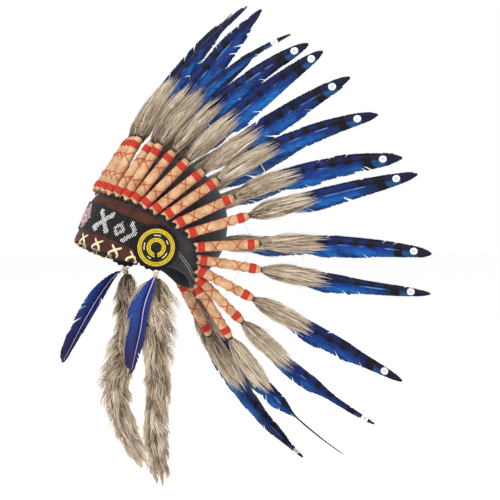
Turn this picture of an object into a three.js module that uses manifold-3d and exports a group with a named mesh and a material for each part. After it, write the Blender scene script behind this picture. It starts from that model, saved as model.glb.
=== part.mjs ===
// A feathered headdress: a felt cap with a suede brow band, a beaded strip, two round rosettes, a ring of
// suede-wrapped feathers with fur at their feet, and a feather and a fur strip hanging from each rosette.
//
// Millimetres. The wearer faces -Y and +X is the wearer's left. The cap sits tilted back on the head, so
// what belongs to it is built upright in a group that is then turned about X. The drops hang straight down.
import * as THREE from "three";
import { mergeVertices } from "three/addons/utils/BufferGeometryUtils.js";
import Module from "manifold-3d";

const rad = THREE.MathUtils.degToRad;
const V = (x, y, z) => new THREE.Vector3(x, y, z);

// Driving sizes.
const CAP_LENGTH = 191; // outside, brow to the fullest part of the back
const CAP_WIDTH = 160; // outside, temple to temple
const CAP_HEIGHT = 153; // rim plane to crown
const CAP_TILT = 22; // degrees that the cap leans back
const FELT = 2.4; // wall of the cap
const SEAT_GAP = 0.5; // air between a piece and the one that carries it
const PLUME_GAP = 0.22; // the same for a wrap, whose side meets the felt's flat facets
const BAND_THICKNESS = 2.2;
const STRIP_THICKNESS = 1.6;
const ROSETTE_RADIUS = 31.5;
const ROSETTE_FIELD_RADIUS = 26;
const ROSETTE_BACKING = 2.2;
const ROSETTE_FIELD = 1.8;
const ROSETTE_SCALLOPS = 22;
const WRAP_LENGTH = 88; // suede wrap, fringe to collar
const WRAP_RADIUS = 6.5;
const FRINGE_LENGTH = 11; // cut end of the wrap below its lower red band
const RED_BAND = 7.6; // width of each red band
const BAND_SPACING = 66; // between the middles of the two red bands of a wrap
const TUFT_LENGTH = 84; // fur past the wrap's collar
const TUFT_RADIUS = 10.5;
const PLUME_LENGTH = 319; // fringe to feather tip
const VANE_WIDTH = 27;
const PLUME_SIDES = 6; // facets round a wrap and the core of its fur
const VANE_THICKNESS = 2.2; // at the rachis, fining to nothing at the edges
const DROP_FEATHER_LENGTH = 131;
const DROP_FEATHER_WIDTH = 29;
const DROP_FUR_LENGTH = 272;
const DROP_FUR_WIDTH = 38;
const DROP_FUR_THICKNESS = 15;
const THONG_DIAMETER = 2.8;
const TIE_SIZE = V(13, 11, 10); // the bunch of laces under a rosette that carries the drops

// Cap sections from rim to crown. rise is a share of CAP_HEIGHT, front and back are shares of CAP_LENGTH
// measured from the cap's axis, side is a share of CAP_WIDTH. The nape tucks in and the brow is upright.
const CAP_SECTIONS = [
  { rise: -0.07, front: 0.462, back: 0.417, side: 0.463 },
  { rise: 0.0, front: 0.461, back: 0.44, side: 0.469 },
  { rise: 0.13, front: 0.461, back: 0.482, side: 0.481 },
  { rise: 0.28, front: 0.459, back: 0.524, side: 0.494 },
  { rise: 0.39, front: 0.448, back: 0.539, side: 0.5 },
  { rise: 0.51, front: 0.416, back: 0.537, side: 0.494 },
  { rise: 0.7, front: 0.34, back: 0.478, side: 0.444 },
  { rise: 0.85, front: 0.25, back: 0.38, side: 0.35 },
  { rise: 0.95, front: 0.14, back: 0.25, side: 0.225 },
  { rise: 1.0, front: -0.03, back: 0.075, side: 0.045 },
];

// Heights round the cap, by angle from the brow, as shares of CAP_HEIGHT. rim is the felt's lower edge,
// hem and top are the edges of the brow band, and low and high those of the bead strip.
const EDGE_HEIGHTS = [
  { angle: 0, rim: 0.012, hem: -0.008, top: 0.43, low: 0.108, high: 0.355 },
  { angle: 28, rim: -0.005, hem: -0.023, top: 0.428, low: 0.1, high: 0.345 },
  { angle: 50, rim: -0.01, hem: -0.028, top: 0.42, low: 0.092, high: 0.325 },
  { angle: 66, rim: -0.01, hem: -0.028, top: 0.402, low: 0.086, high: 0.312 },
  { angle: 79, rim: 0.0, hem: -0.014, top: 0.385, low: 0.08, high: 0.31 },
  { angle: 90, rim: 0.02, hem: 0.01, top: 0.35, low: 0.08, high: 0.31 },
  { angle: 99, rim: 0.045, hem: 0.06, top: 0.285, low: 0.08, high: 0.31 },
  { angle: 108, rim: 0.056, hem: 0.06, top: 0.29, low: 0.08, high: 0.31 },
  { angle: 126, rim: 0.05, hem: 0.06, top: 0.29, low: 0.08, high: 0.31 },
  { angle: 140, rim: 0.015, hem: 0.06, top: 0.29, low: 0.08, high: 0.31 },
  { angle: 153, rim: -0.02, hem: 0.06, top: 0.29, low: 0.08, high: 0.31 },
  { angle: 180, rim: -0.025, hem: 0.06, top: 0.29, low: 0.08, high: 0.31 },
];

// One row for each pair of plumes, brow to nape. angle (degrees from the brow) and height (share of
// CAP_HEIGHT) give the seat of the fringe. lean is measured back from the cap's axis and flare outward,
// both in degrees, bend is the change of lean by the tip, and turn the way the flat of the feather faces,
// in degrees from the brow. The right side has its own lean, flare and bend, as handwork does.
const PLUMES = [
  { angle: 4.9, height: 0.44, lean: 11, flare: 2.5, bend: 14, turn: 6, rLean: 12, rFlare: 1.5, rBend: 12 },
  { angle: 14.5, height: 0.44, lean: 9, flare: 4, bend: 17, turn: 15, rLean: 12.5, rFlare: 3.5, rBend: 11 },
  { angle: 24, height: 0.44, lean: 5.5, flare: 7, bend: 23, turn: 12, rLean: 12, rFlare: 6, rBend: 12 },
  { angle: 33.3, height: 0.44, lean: 11, flare: 8.5, bend: 11.5, turn: 46, rLean: 11, rFlare: 9, rBend: 13 },
  { angle: 42.3, height: 0.445, lean: 9.5, flare: 11.5, bend: 35, turn: 22, rLean: 10, rFlare: 12, rBend: 15 },
  { angle: 50.8, height: 0.44, lean: 15, flare: 12, bend: 27, turn: 70, rLean: 19, rFlare: 12, rBend: 17 },
  { angle: 59.5, height: 0.43, lean: 21, flare: 13, bend: 14, turn: 78, rLean: 24, rFlare: 13, rBend: 9 },
  { angle: 68.6, height: 0.425, lean: 28, flare: 14, bend: 13, turn: 82, rLean: 29, rFlare: 13, rBend: 3 },
  { angle: 78.8, height: 0.42, lean: 32, flare: 15, bend: 26, turn: 86, rLean: 35, rFlare: 16, rBend: 6 },
  { angle: 89, height: 0.397, lean: 42, flare: 16, bend: 25, turn: 90, rLean: 41, rFlare: 16, rBend: 8 },
  { angle: 101, height: 0.365, lean: 51, flare: 17, bend: 5, turn: 92, rLean: 47, rFlare: 18, rBend: 8 },
  { angle: 113.5, height: 0.293, lean: 65, flare: 17, bend: 13, turn: 90, rLean: 68, rFlare: 17, rBend: 3 },
  { angle: 123, height: 0.213, lean: 78, flare: 16, bend: -3, turn: 88, rLean: 121, rFlare: 27, rBend: -10 },
  { angle: 129.5, height: 0.14, lean: 97, flare: 14, bend: 2, turn: 84, rLean: 125, rFlare: 22, rBend: -12 },
  { angle: 139, height: 0.085, lean: 114, flare: 10, bend: -15, turn: 82, rLean: 128, rFlare: 13, rBend: -18 },
  { angle: 149, height: 0.03, lean: 126, flare: 5, bend: -24, turn: 80, rLean: 129, rFlare: 2, rBend: -19 },
];

// Rings of a suede wrap: along is in millimetres from the fringe, across and deep are shares of
// WRAP_RADIUS. The cut end is flattened against the cap, the two red bands stand out and the collar closes.
const MID_LOW = FRINGE_LENGTH;
const MID_HIGH = FRINGE_LENGTH + BAND_SPACING;
const WRAP_RINGS = [
  { along: 0, across: 0.94, deep: 0.62 },
  { along: MID_LOW - RED_BAND / 2, across: 1.04, deep: 1.0 },
  { along: MID_LOW + RED_BAND / 2, across: 1.06, deep: 1.04 },
  { along: MID_HIGH - RED_BAND / 2, across: 0.94, deep: 0.94 },
  { along: MID_HIGH + RED_BAND / 2, across: 0.95, deep: 0.95 },
  { along: WRAP_LENGTH - 3, across: 0.84, deep: 0.84 },
];

// The fur at a feather's foot: a core with locks round it. along is a share of TUFT_LENGTH past the wrap.
const TUFT_RINGS = [
  { along: 0.0, size: 0.42 },
  { along: 0.3, size: 0.9 },
  { along: 0.72, size: 0.7 },
];
const TUFT_LOCKS = [
  { around: 20, from: 0.3, to: 1.0 },
  { around: 145, from: 0.24, to: 0.88 },
  { around: 250, from: 0.3, to: 0.95 },
];

// The vane, from inside the fur to the tip: along is a share of PLUME_LENGTH, lead and trail the shares of
// VANE_WIDTH toward the brow and away from it, thick a share of VANE_THICKNESS.
const VANE_RINGS = [
  { along: 0.37, lead: 0.12, trail: 0.16, thick: 1.0 },
  { along: 0.45, lead: 0.3, trail: 0.44, thick: 1.0 },
  { along: 0.56, lead: 0.4, trail: 0.6, thick: 0.9 },
  { along: 0.7, lead: 0.38, trail: 0.56, thick: 0.8 },
  { along: 0.83, lead: 0.32, trail: 0.42, thick: 0.65 },
  { along: 0.93, lead: 0.26, trail: 0.3, thick: 0.5 },
  { along: 0.985, lead: 0.13, trail: 0.14, thick: 0.4 },
];

// What hangs below each rosette: drop is a share of the piece's height and back its wander toward the nape,
// in millimetres.
const HANGS = {
  feather_left: [[0, 0], [0.3, -15], [0.56, -21], [0.82, -29], [1, -34]],
  feather_right: [[0, 0], [0.08, -14], [0.2, -27], [0.38, -43], [0.6, -60], [0.8, -74], [1, -88]],
  fur_left: [[0, 0], [0.3, -2], [0.52, 3], [0.74, -1], [1, 8]],
  fur_right: [[0, 0], [0.28, -4], [0.5, -11], [0.62, -15], [0.78, -5], [1, 24]],
};
const DROP_FEATHER_RINGS = [
  { along: 0.02, lead: 0.05, trail: 0.05, thick: 1.0 },
  { along: 0.12, lead: 0.16, trail: 0.12, thick: 1.0 },
  { along: 0.3, lead: 0.5, trail: 0.26, thick: 0.9 },
  { along: 0.5, lead: 0.66, trail: 0.3, thick: 0.8 },
  { along: 0.7, lead: 0.6, trail: 0.27, thick: 0.7 },
  { along: 0.86, lead: 0.4, trail: 0.2, thick: 0.5 },
  { along: 0.96, lead: 0.18, trail: 0.1, thick: 0.4 },
];
const DROP_FUR_RINGS = [
  { along: 0.0, across: 0.2, deep: 0.3 },
  { along: 0.04, across: 0.5, deep: 0.6 },
  { along: 0.16, across: 0.8, deep: 0.95 },
  { along: 0.38, across: 0.86, deep: 1.0 },
  { along: 0.6, across: 0.84, deep: 1.0 },
  { along: 0.8, across: 0.8, deep: 0.95 },
  { along: 0.92, across: 0.6, deep: 0.7 },
];
const DROP_FUR_LOCKS = [
  { around: 8, from: 0.08, to: 0.34 },
  { around: 176, from: 0.12, to: 0.38 },
  { around: 352, from: 0.3, to: 0.56 },
  { around: 188, from: 0.36, to: 0.62 },
  { around: 10, from: 0.52, to: 0.8 },
  { around: 172, from: 0.58, to: 0.86 },
  { around: 350, from: 0.72, to: 0.98 },
  { around: 200, from: 0.76, to: 1.0 },
];

const COLOURS = {
  felt: 0x33323a, band: 0x4a251d, beads: 0x1d1a1e, rosette: 0xe3cf3a, plume: 0x1d4fb0, fur: 0x8d7b69,
  dropFeather: 0x26479f, thong: 0x17120f, lace: 0xd9c7a2,
};
const material = (colour, roughness) => new THREE.MeshStandardMaterial({ color: colour, roughness, metalness: 0 });

// A smooth curve through a table's rows, one column at a time.
function along(rows, key, column, at) {
  const n = rows.length;
  if (at <= rows[0][key]) return rows[0][column];
  if (at >= rows[n - 1][key]) return rows[n - 1][column];
  let i = 0;
  while (rows[i + 1][key] < at) i += 1;
  const slope = (a, b) => (rows[b][column] - rows[a][column]) / (rows[b][key] - rows[a][key]);
  const width = rows[i + 1][key] - rows[i][key];
  const m0 = i > 0 ? slope(i - 1, i + 1) : slope(i, i + 1);
  const m1 = i < n - 2 ? slope(i, i + 2) : slope(i, i + 1);
  const t = (at - rows[i][key]) / width;
  const [t2, t3] = [t * t, t * t * t];
  return (2 * t3 - 3 * t2 + 1) * rows[i][column] + (t3 - 2 * t2 + t) * width * m0
    + (3 * t2 - 2 * t3) * rows[i + 1][column] + (t3 - t2) * width * m1;
}

// A point on the outside of the felt, by angle from the brow and height over the rim plane.
function capSkin(angle, height) {
  const rise = height / CAP_HEIGHT;
  const front = along(CAP_SECTIONS, "rise", "front", rise) * CAP_LENGTH;
  const back = along(CAP_SECTIONS, "rise", "back", rise) * CAP_LENGTH;
  const side = along(CAP_SECTIONS, "rise", "side", rise) * CAP_WIDTH;
  const t = rad(angle);
  return V(side * Math.sin(t), (back - front) / 2 - ((back + front) / 2) * Math.cos(t), height);
}

function capNormal(angle, height) {
  const round = capSkin(angle + 0.5, height).sub(capSkin(angle - 0.5, height));
  const up = capSkin(angle, Math.min(height + 1, CAP_HEIGHT - 0.5)).sub(capSkin(angle, height - 1));
  return round.cross(up).normalize();
}

// How far a point stands off the felt, for points near the cap.
function feltGap(point) {
  const rise = point.z / CAP_HEIGHT;
  const front = along(CAP_SECTIONS, "rise", "front", rise) * CAP_LENGTH;
  const back = along(CAP_SECTIONS, "rise", "back", rise) * CAP_LENGTH;
  const side = along(CAP_SECTIONS, "rise", "side", rise) * CAP_WIDTH;
  const round = Math.atan2(point.x / side, ((back - front) / 2 - point.y) / ((back + front) / 2));
  const angle = THREE.MathUtils.radToDeg(round);
  return point.clone().sub(capSkin(angle, point.z)).dot(capNormal(angle, point.z));
}

const capPoint = (angle, height, out) => capSkin(angle, height).addScaledVector(capNormal(angle, height), out);
const edge = (angle, column) => along(EDGE_HEIGHTS, "angle", column, Math.min(Math.abs(angle), 180)) * CAP_HEIGHT;

// A closed solid from rings of points. A ring of one point closes an end; otherwise ends are laddered flat.
function solidFromRings(rings) {
  const points = [];
  const starts = rings.map((ring) => { const at = points.length; points.push(...ring); return at; });
  const faces = [];
  for (let i = 0; i + 1 < rings.length; i += 1) {
    const [a, b] = [rings[i].length, rings[i + 1].length];
    const n = Math.max(a, b);
    for (let j = 0; j < n; j += 1) {
      const k = (j + 1) % n;
      const [p, q] = [starts[i] + (a > 1 ? j : 0), starts[i] + (a > 1 ? k : 0)];
      const [r, s] = [starts[i + 1] + (b > 1 ? j : 0), starts[i + 1] + (b > 1 ? k : 0)];
      if (a > 1) faces.push([p, q, b > 1 ? s : r]);
      if (b > 1) faces.push([p, s, r]);
    }
  }
  const ladder = (ring, start, flip) => {
    for (let lo = 0, hi = ring.length - 1; hi - lo >= 2 || hi - lo === 1;) {
      const quad = hi - lo >= 3 ? [[lo, lo + 1, hi - 1], [lo, hi - 1, hi]] : hi - lo === 2 ? [[lo, lo + 1, hi]] : [];
      quad.forEach((f) => faces.push((flip ? [...f].reverse() : f).map((v) => v + start)));
      lo += 1;
      hi -= 1;
    }
  };
  const last = rings.length - 1;
  if (rings[0].length > 1) ladder(rings[0], starts[0], true);
  if (rings[last].length > 1) ladder(rings[last], starts[last], false);
  let volume = 0;
  faces.forEach(([a, b, c]) => { volume += points[a].dot(points[b].clone().cross(points[c])); });
  const geometry = new THREE.BufferGeometry();
  geometry.setAttribute("position", new THREE.Float32BufferAttribute(points.flatMap((p) => [p.x, p.y, p.z]), 3));
  geometry.setIndex(faces.flatMap((f) => (volume > 0 ? f : [...f].reverse())));
  return geometry;
}

const wasm = await Module();
wasm.setup();

function toManifold(geometry) {
  let bare = geometry.clone();
  bare.deleteAttribute("normal");
  bare.deleteAttribute("uv");
  bare = mergeVertices(bare, 1e-4);
  return new wasm.Manifold(new wasm.Mesh({
    numProp: 3,
    vertProperties: new Float32Array(bare.attributes.position.array),
    triVerts: new Uint32Array(bare.index.array),
  }));
}

function fuse(geometries) {
  let whole = toManifold(geometries[0]);
  geometries.slice(1).forEach((g) => { whole = whole.add(toManifold(g)); });
  const mesh = whole.getMesh();
  const geometry = new THREE.BufferGeometry();
  geometry.setAttribute("position", new THREE.BufferAttribute(new Float32Array(mesh.vertProperties), 3));
  geometry.setIndex(new THREE.BufferAttribute(new Uint32Array(mesh.triVerts), 1));
  return geometry;
}

function piece(name, geometry, colour, roughness, position = V(0, 0, 0)) {
  geometry.computeVertexNormals();
  const mesh = new THREE.Mesh(geometry, material(colour, roughness));
  mesh.name = name;
  mesh.position.copy(position);
  return mesh;
}

// The felt cap: a shell open below, thinned by FELT on the inside.
const CAP_COLUMNS = 36;
const CAP_ROWS = [0, 0.16, 0.32, 0.43, 0.56, 0.71, 0.85, 0.95];
function feltCap() {
  const row = (share, out) => Array.from({ length: CAP_COLUMNS }, (_, i) => {
    const angle = (i * 360) / CAP_COLUMNS - 180;
    const low = edge(angle, "rim");
    return capPoint(angle, low + share * (CAP_HEIGHT - low), out);
  });
  const crown = capSkin(0, CAP_HEIGHT).setX(0).setY(CAP_LENGTH * 0.05);
  const inner = CAP_ROWS.filter((_, i) => i !== 1 && i !== 3).reverse();
  return solidFromRings([
    [crown.clone().setZ(CAP_HEIGHT - FELT)],
    ...inner.map((share) => row(share, -FELT)),
    ...CAP_ROWS.map((share) => row(share, 0)),
    [crown],
  ]);
}

// A strip lying on the cap between two edges of the table, from -reach to +reach degrees.
function wrapStrip(reach, step, lowKey, highKey, shares, lift, thickness) {
  const rings = [];
  for (let angle = -reach; angle <= reach + 1e-6; angle += step) {
    const [low, high] = [edge(angle, lowKey), edge(angle, highKey)];
    const heights = shares.map((share) => low + (high - low) * share);
    rings.push([
      ...heights.map((h) => capPoint(angle, h, lift + thickness)),
      ...[...heights].reverse().map((h) => capPoint(angle, h, lift)),
    ]);
  }
  return solidFromRings(rings);
}

// A round beaded rosette, lying in its own XY plane with its back on z = 0: a scalloped felt backing, the
// beaded field on it, and the keyhole that the beads leave in the middle.
function rosette() {
  const rim = new THREE.Shape(Array.from({ length: ROSETTE_SCALLOPS * 2 }, (_, i) => {
    const t = (i * Math.PI) / ROSETTE_SCALLOPS;
    const r = ROSETTE_RADIUS - (i % 2 ? 1.8 : 0);
    return new THREE.Vector2(r * Math.cos(t), r * Math.sin(t));
  }));
  const backing = new THREE.ExtrudeGeometry(rim, { depth: ROSETTE_BACKING, bevelEnabled: false });
  const field = new THREE.Shape(Array.from({ length: 32 }, (_, i) => {
    const t = (i * Math.PI) / 16;
    return new THREE.Vector2(ROSETTE_FIELD_RADIUS * Math.cos(t), ROSETTE_FIELD_RADIUS * Math.sin(t));
  }));
  const [eye, slot] = [5.2, 1.2];
  const keyhole = Array.from({ length: 12 }, (_, i) => {
    const t = -Math.PI / 2 + Math.asin(slot / eye) + (i * (2 * Math.PI - 2 * Math.asin(slot / eye))) / 11;
    return new THREE.Vector2(eye * Math.cos(t), eye * Math.sin(t));
  });
  field.holes.push(new THREE.Path([...keyhole, new THREE.Vector2(-slot, -15), new THREE.Vector2(slot, -15)]));
  const face = new THREE.ExtrudeGeometry(field, { depth: ROSETTE_FIELD + 0.4, bevelEnabled: false });
  face.translate(0, 0, ROSETTE_BACKING - 0.4);
  return fuse([backing, face]);
}

// The centre line of a plume in the cap's frame. At each point ahead is its direction, out the way its flat
// face looks, and across points toward the brow on both sides.
function plumeLine(row, side) {
  const left = side > 0;
  const [lean, flare, bend] = left ? [row.lean, row.flare, row.bend] : [row.rLean, row.rFlare, row.rBend];
  const heading = (s) => {
    const t = Math.max(0, (s - WRAP_LENGTH) / (PLUME_LENGTH - WRAP_LENGTH));
    const [a, f] = [rad(lean + bend * t), rad(flare) * side];
    return V(Math.sin(f), Math.cos(f) * Math.sin(a), Math.cos(f) * Math.cos(a));
  };
  const angle = row.angle * side;
  const height = row.height * CAP_HEIGHT;
  const normal = capNormal(angle, height);
  const facing = heading(0).dot(normal);
  const inward = heading(0).multiplyScalar(facing).sub(normal).normalize();
  const undersides = WRAP_RINGS.slice(0, 4).map((ring) => heading(0).multiplyScalar(ring.along)
    .addScaledVector(inward, ring.deep * WRAP_RADIUS));
  let reach = WRAP_RADIUS;
  for (let i = 0; i < 4; i += 1) {
    const at = capPoint(angle, height, reach);
    reach += PLUME_GAP - Math.min(...undersides.map((under) => feltGap(under.clone().add(at))));
  }
  const foot = capPoint(angle, height, reach);
  const flat = V(Math.sin(rad(row.turn)) * side, -Math.cos(rad(row.turn)), 0);
  return (s) => {
    const steps = Math.max(1, Math.ceil(Math.abs(s) / 4));
    const at = V(0, 0, 0);
    for (let i = 0; i < steps; i += 1) at.addScaledVector(heading(((i + 0.5) * s) / steps), s / steps);
    const ahead = heading(s);
    const mix = Math.min(1, Math.max(0, (s - WRAP_LENGTH * 0.5) / (WRAP_LENGTH * 0.5)));
    const out = normal.clone().lerp(flat, mix);
    out.addScaledVector(ahead, -out.dot(ahead)).normalize();
    return { at, ahead, out, across: out.clone().cross(ahead).multiplyScalar(side), foot };
  };
}

const ringAt = (place, sides, across, deep, spin = 0) => Array.from({ length: sides }, (_, i) => {
  const t = (i * 2 * Math.PI) / sides + spin;
  return place.at.clone().addScaledVector(place.across, across * Math.cos(t)).addScaledVector(place.out, deep * Math.sin(t));
});

// A feather's vane: four points to a ring, two thin edges and a ridge on each face, then the tip.
function vaneAlong(line, rings, length, width, thickness) {
  const sections = rings.map((row) => {
    const place = line(row.along * length);
    const shift = (a, o) => place.at.clone().addScaledVector(place.across, a).addScaledVector(place.out, o);
    const ridge = (thickness * row.thick) / 2;
    return [shift(row.lead * width, 0), shift(0, ridge), shift(-row.trail * width, 0), shift(0, -ridge)];
  });
  return solidFromRings([...sections, [line(length).at]]);
}

// A lock of fur: a three-sided blade that starts inside the core and stands off it at its tip.
function lockAlong(line, start, end, around, reach, width) {
  const t = rad(around);
  const place = (s, off) => {
    const p = line(s);
    const side = p.across.clone().multiplyScalar(Math.cos(t)).addScaledVector(p.out, Math.sin(t));
    return { at: p.at.clone().addScaledVector(side, off), ahead: p.ahead, out: side, across: side.clone().cross(p.ahead) };
  };
  return solidFromRings([
    ringAt(place(start, reach * 0.5), 3, width, width * 0.75, 0.5),
    [place(end, reach).at],
  ]);
}

function plume(row, side, spread) {
  const line = plumeLine(row, side);
  const size = TUFT_RADIUS * spread;
  const stem = solidFromRings([
    ...WRAP_RINGS.map((r, i) => {
      const ring = ringAt(line(r.along), PLUME_SIDES, WRAP_RADIUS * r.across, WRAP_RADIUS * r.deep, Math.PI / 6);
      if (i === 0) ring.forEach((p, j) => p.addScaledVector(line(0).ahead, j % 2 ? 1.6 : 0));
      return ring;
    }),
    ...TUFT_RINGS.map((r) => ringAt(line(WRAP_LENGTH + r.along * TUFT_LENGTH), PLUME_SIDES,
      size * r.size, size * r.size * 0.9, Math.PI / 6)),
    [line(WRAP_LENGTH + TUFT_LENGTH * 0.97).at],
  ]);
  const locks = TUFT_LOCKS.map((k) => lockAlong(line, WRAP_LENGTH + k.from * TUFT_LENGTH,
    WRAP_LENGTH + k.to * TUFT_LENGTH, k.around + row.angle * 7, size, size * 0.34));
  const vane = vaneAlong(line, VANE_RINGS, PLUME_LENGTH, VANE_WIDTH * Math.min(1, spread + 0.1), VANE_THICKNESS);
  return { geometry: fuse([stem, ...locks, vane]), foot: line(0).foot };
}

// A hanging line below a rosette, from a table of drop and wander. Its across points forward, to the face.
function hangingLine(table, length, side) {
  const rows = table.map(([drop, back]) => ({ drop, back }));
  return (s) => {
    const at = (v) => V(0, along(rows, "drop", "back", v / length), -v);
    const ahead = at(s + 1).sub(at(s - 1)).normalize();
    const out = V(side, 0, 0).addScaledVector(ahead, -side * ahead.x).normalize();
    return { at: at(s), ahead, out, across: out.clone().cross(ahead).multiplyScalar(-side) };
  };
}

function dropFeather(name, side) {
  const line = hangingLine(HANGS[`feather_${name}`], DROP_FEATHER_LENGTH, side);
  const quill = solidFromRings([0, 0.1, 0.25].map((s) => ringAt(line(s * DROP_FEATHER_LENGTH), 6, 1.5, 1.5)));
  return fuse([vaneAlong(line, DROP_FEATHER_RINGS, DROP_FEATHER_LENGTH, DROP_FEATHER_WIDTH, VANE_THICKNESS), quill]);
}

function dropFur(name, side) {
  const line = hangingLine(HANGS[`fur_${name}`], DROP_FUR_LENGTH, side);
  const half = [DROP_FUR_WIDTH / 2, DROP_FUR_THICKNESS / 2];
  const body = solidFromRings([
    ...DROP_FUR_RINGS.map((r) => ringAt(line(r.along * DROP_FUR_LENGTH), 8, half[0] * r.across, half[1] * r.deep)),
    [line(DROP_FUR_LENGTH).at],
  ]);
  const locks = DROP_FUR_LOCKS.map((k) => lockAlong(line, k.from * DROP_FUR_LENGTH, k.to * DROP_FUR_LENGTH,
    k.around, half[0] * (Math.abs(Math.sin(rad(k.around))) > 0.7 ? 0.55 : 1), half[1] * 0.5));
  return fuse([body, ...locks]);
}

// A round thong through a few points.
function thong(points, diameter) {
  const curve = new THREE.CatmullRomCurve3(points);
  const shape = new THREE.Shape(Array.from({ length: 6 }, (_, i) => new THREE.Vector2(
    (diameter / 2) * Math.cos((i * Math.PI) / 3), (diameter / 2) * Math.sin((i * Math.PI) / 3))));
  return new THREE.ExtrudeGeometry(shape, { extrudePath: curve, steps: points.length * 2, bevelEnabled: false });
}

const headdress = new THREE.Group();
const onCap = new THREE.Group();
onCap.rotation.x = -rad(CAP_TILT);
headdress.add(onCap);

onCap.add(piece("felt_cap", feltCap(), COLOURS.felt, 0.95));
onCap.add(piece("brow_band", wrapStrip(100, 10, "hem", "top", [0, 0.4, 0.74, 1], SEAT_GAP, BAND_THICKNESS), COLOURS.band, 0.85));
const STRIP_LIFT = SEAT_GAP * 2 + BAND_THICKNESS;
onCap.add(piece("bead_strip", wrapStrip(70, 10, "low", "high", [0, 0.5, 1], STRIP_LIFT, STRIP_THICKNESS), COLOURS.beads, 0.4));

const ROSETTE_SEAT = { angle: 86, height: 0.165 * CAP_HEIGHT };
const ROSETTE_LIFT = SEAT_GAP * 2 + BAND_THICKNESS;
for (const [name, side] of [["left", 1], ["right", -1]]) {
  const normal = capNormal(ROSETTE_SEAT.angle * side, ROSETTE_SEAT.height);
  const seat = new THREE.Group();
  seat.position.copy(capPoint(ROSETTE_SEAT.angle * side, ROSETTE_SEAT.height, ROSETTE_LIFT));
  const down = V(0, Math.sin(rad(-CAP_TILT)), -Math.cos(rad(CAP_TILT)));
  const up = down.clone().negate().addScaledVector(normal, down.dot(normal)).normalize();
  seat.quaternion.setFromRotationMatrix(new THREE.Matrix4().makeBasis(up.clone().cross(normal), up, normal));
  seat.add(piece(`rosette_${name}`, rosette(), COLOURS.rosette, 0.45));
  onCap.add(seat);
}

// Plumes at the crowded brow have slimmer fur and narrower feathers than those at the sides.
const SPREAD = [0.68, 0.68, 0.72, 0.76, 0.82, 0.88, 0.95, 1, 1, 1, 1, 1, 1, 1, 1, 1];
PLUMES.forEach((row, i) => {
  for (const [name, side] of [["left", 1], ["right", -1]]) {
    const { geometry, foot } = plume(row, side, SPREAD[i]);
    const number = String(i + 1).padStart(2, "0");
    onCap.add(piece(`plume_${name}_${number}`, geometry, COLOURS.plume, 0.7, foot));
  }
});

// Under each rosette a bunch of laces carries the drops: the feather outermost, then the thong, then the fur.
const TIE = V(85.5, 4.5, -11.7);
const FEATHER_FOOT = TIE.clone().add(V(TIE_SIZE.x / 2 + 1.1, -1.5, 1.5));
const THONG_FOOT = TIE.clone().add(V(4, 3, -4.7));
const FUR_FOOT = TIE.clone().add(V(-5, 1.5, -4.9));
const THONG_ENDS = {
  left: [V(0, 0, 0), V(0, 0, -15), V(0, 1, -31)],
  right: [V(0, 0, 0), V(0, -9, -14), V(0, -14, -26), V(0, -20, -38)],
};
const tie = () => solidFromRings([-0.5, -0.36, 0, 0.36, 0.5].map((z) => {
  const share = z === 0 ? 0.5 : Math.abs(z) > 0.4 ? 0.18 : 0.38;
  return Array.from({ length: 8 }, (_, i) => V(TIE_SIZE.x * share * Math.cos((i * Math.PI) / 4),
    TIE_SIZE.y * share * Math.sin((i * Math.PI) / 4), TIE_SIZE.z * z));
}));
for (const [name, side] of [["left", 1], ["right", -1]]) {
  const from = (p) => V(p.x * side, p.y, p.z);
  headdress.add(piece(`tie_${name}`, tie(), COLOURS.lace, 0.8, from(TIE)));
  headdress.add(piece(`drop_feather_${name}`, dropFeather(name, side), COLOURS.dropFeather, 0.55, from(FEATHER_FOOT)));
  headdress.add(piece(`drop_fur_${name}`, dropFur(name, side), COLOURS.fur, 0.95, from(FUR_FOOT)));
  headdress.add(piece(`thong_${name}`, thong(THONG_ENDS[name], THONG_DIAMETER), COLOURS.thong, 0.6, from(THONG_FOOT)));
}

export default headdress;
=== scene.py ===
# %% [markdown]
# # A feathered headdress, piece by piece
# The real thing is a felt cap with a suede brow band, a strip of seed beads, two round bead rosettes, and a
# ring of dyed feathers. Each feather stands in a suede sleeve bound with red thread and has a tuft of fur at
# its foot. We load the measured model as a frame, then dress every part of it with a surface that is worked
# out with numpy: a function of two parameters on a grid, or a profile carried along a path.

# %% The frame and the units
import math

import bpy
import numpy as np
from mathutils import Matrix


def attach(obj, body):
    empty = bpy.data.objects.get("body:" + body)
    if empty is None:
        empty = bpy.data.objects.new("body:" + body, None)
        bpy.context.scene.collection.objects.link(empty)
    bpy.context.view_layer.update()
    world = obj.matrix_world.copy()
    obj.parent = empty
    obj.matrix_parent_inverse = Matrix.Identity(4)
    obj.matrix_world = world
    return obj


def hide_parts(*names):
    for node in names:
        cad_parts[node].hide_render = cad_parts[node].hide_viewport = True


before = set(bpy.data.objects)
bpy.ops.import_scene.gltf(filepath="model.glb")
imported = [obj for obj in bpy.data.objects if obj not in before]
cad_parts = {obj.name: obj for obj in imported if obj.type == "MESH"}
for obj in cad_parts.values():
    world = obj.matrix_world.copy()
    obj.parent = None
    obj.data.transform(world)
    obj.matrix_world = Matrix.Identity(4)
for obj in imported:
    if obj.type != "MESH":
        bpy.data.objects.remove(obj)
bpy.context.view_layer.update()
MM = 0.001  # every length below is in millimetres and becomes metres when a mesh is made
SIDES = (("left", 1), ("right", -1))
chance = np.random.default_rng(11)

# %% [markdown]
# ## The camera
# The photograph looks at the wearer's left side, a little from the front and almost level. A camera is a
# place and three directions, so we write its matrix from an azimuth and an elevation. Its long lens comes
# from how little the far side shrinks.

# %% Camera
AZIMUTH, ELEVATION = math.radians(73), math.radians(1.5)
CAMERA_DISTANCE = 2600
CAMERA_TARGET = (153.7, 19.0)  # to the right of the mount and above it, in the picture plane
LENS = 137.65


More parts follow.
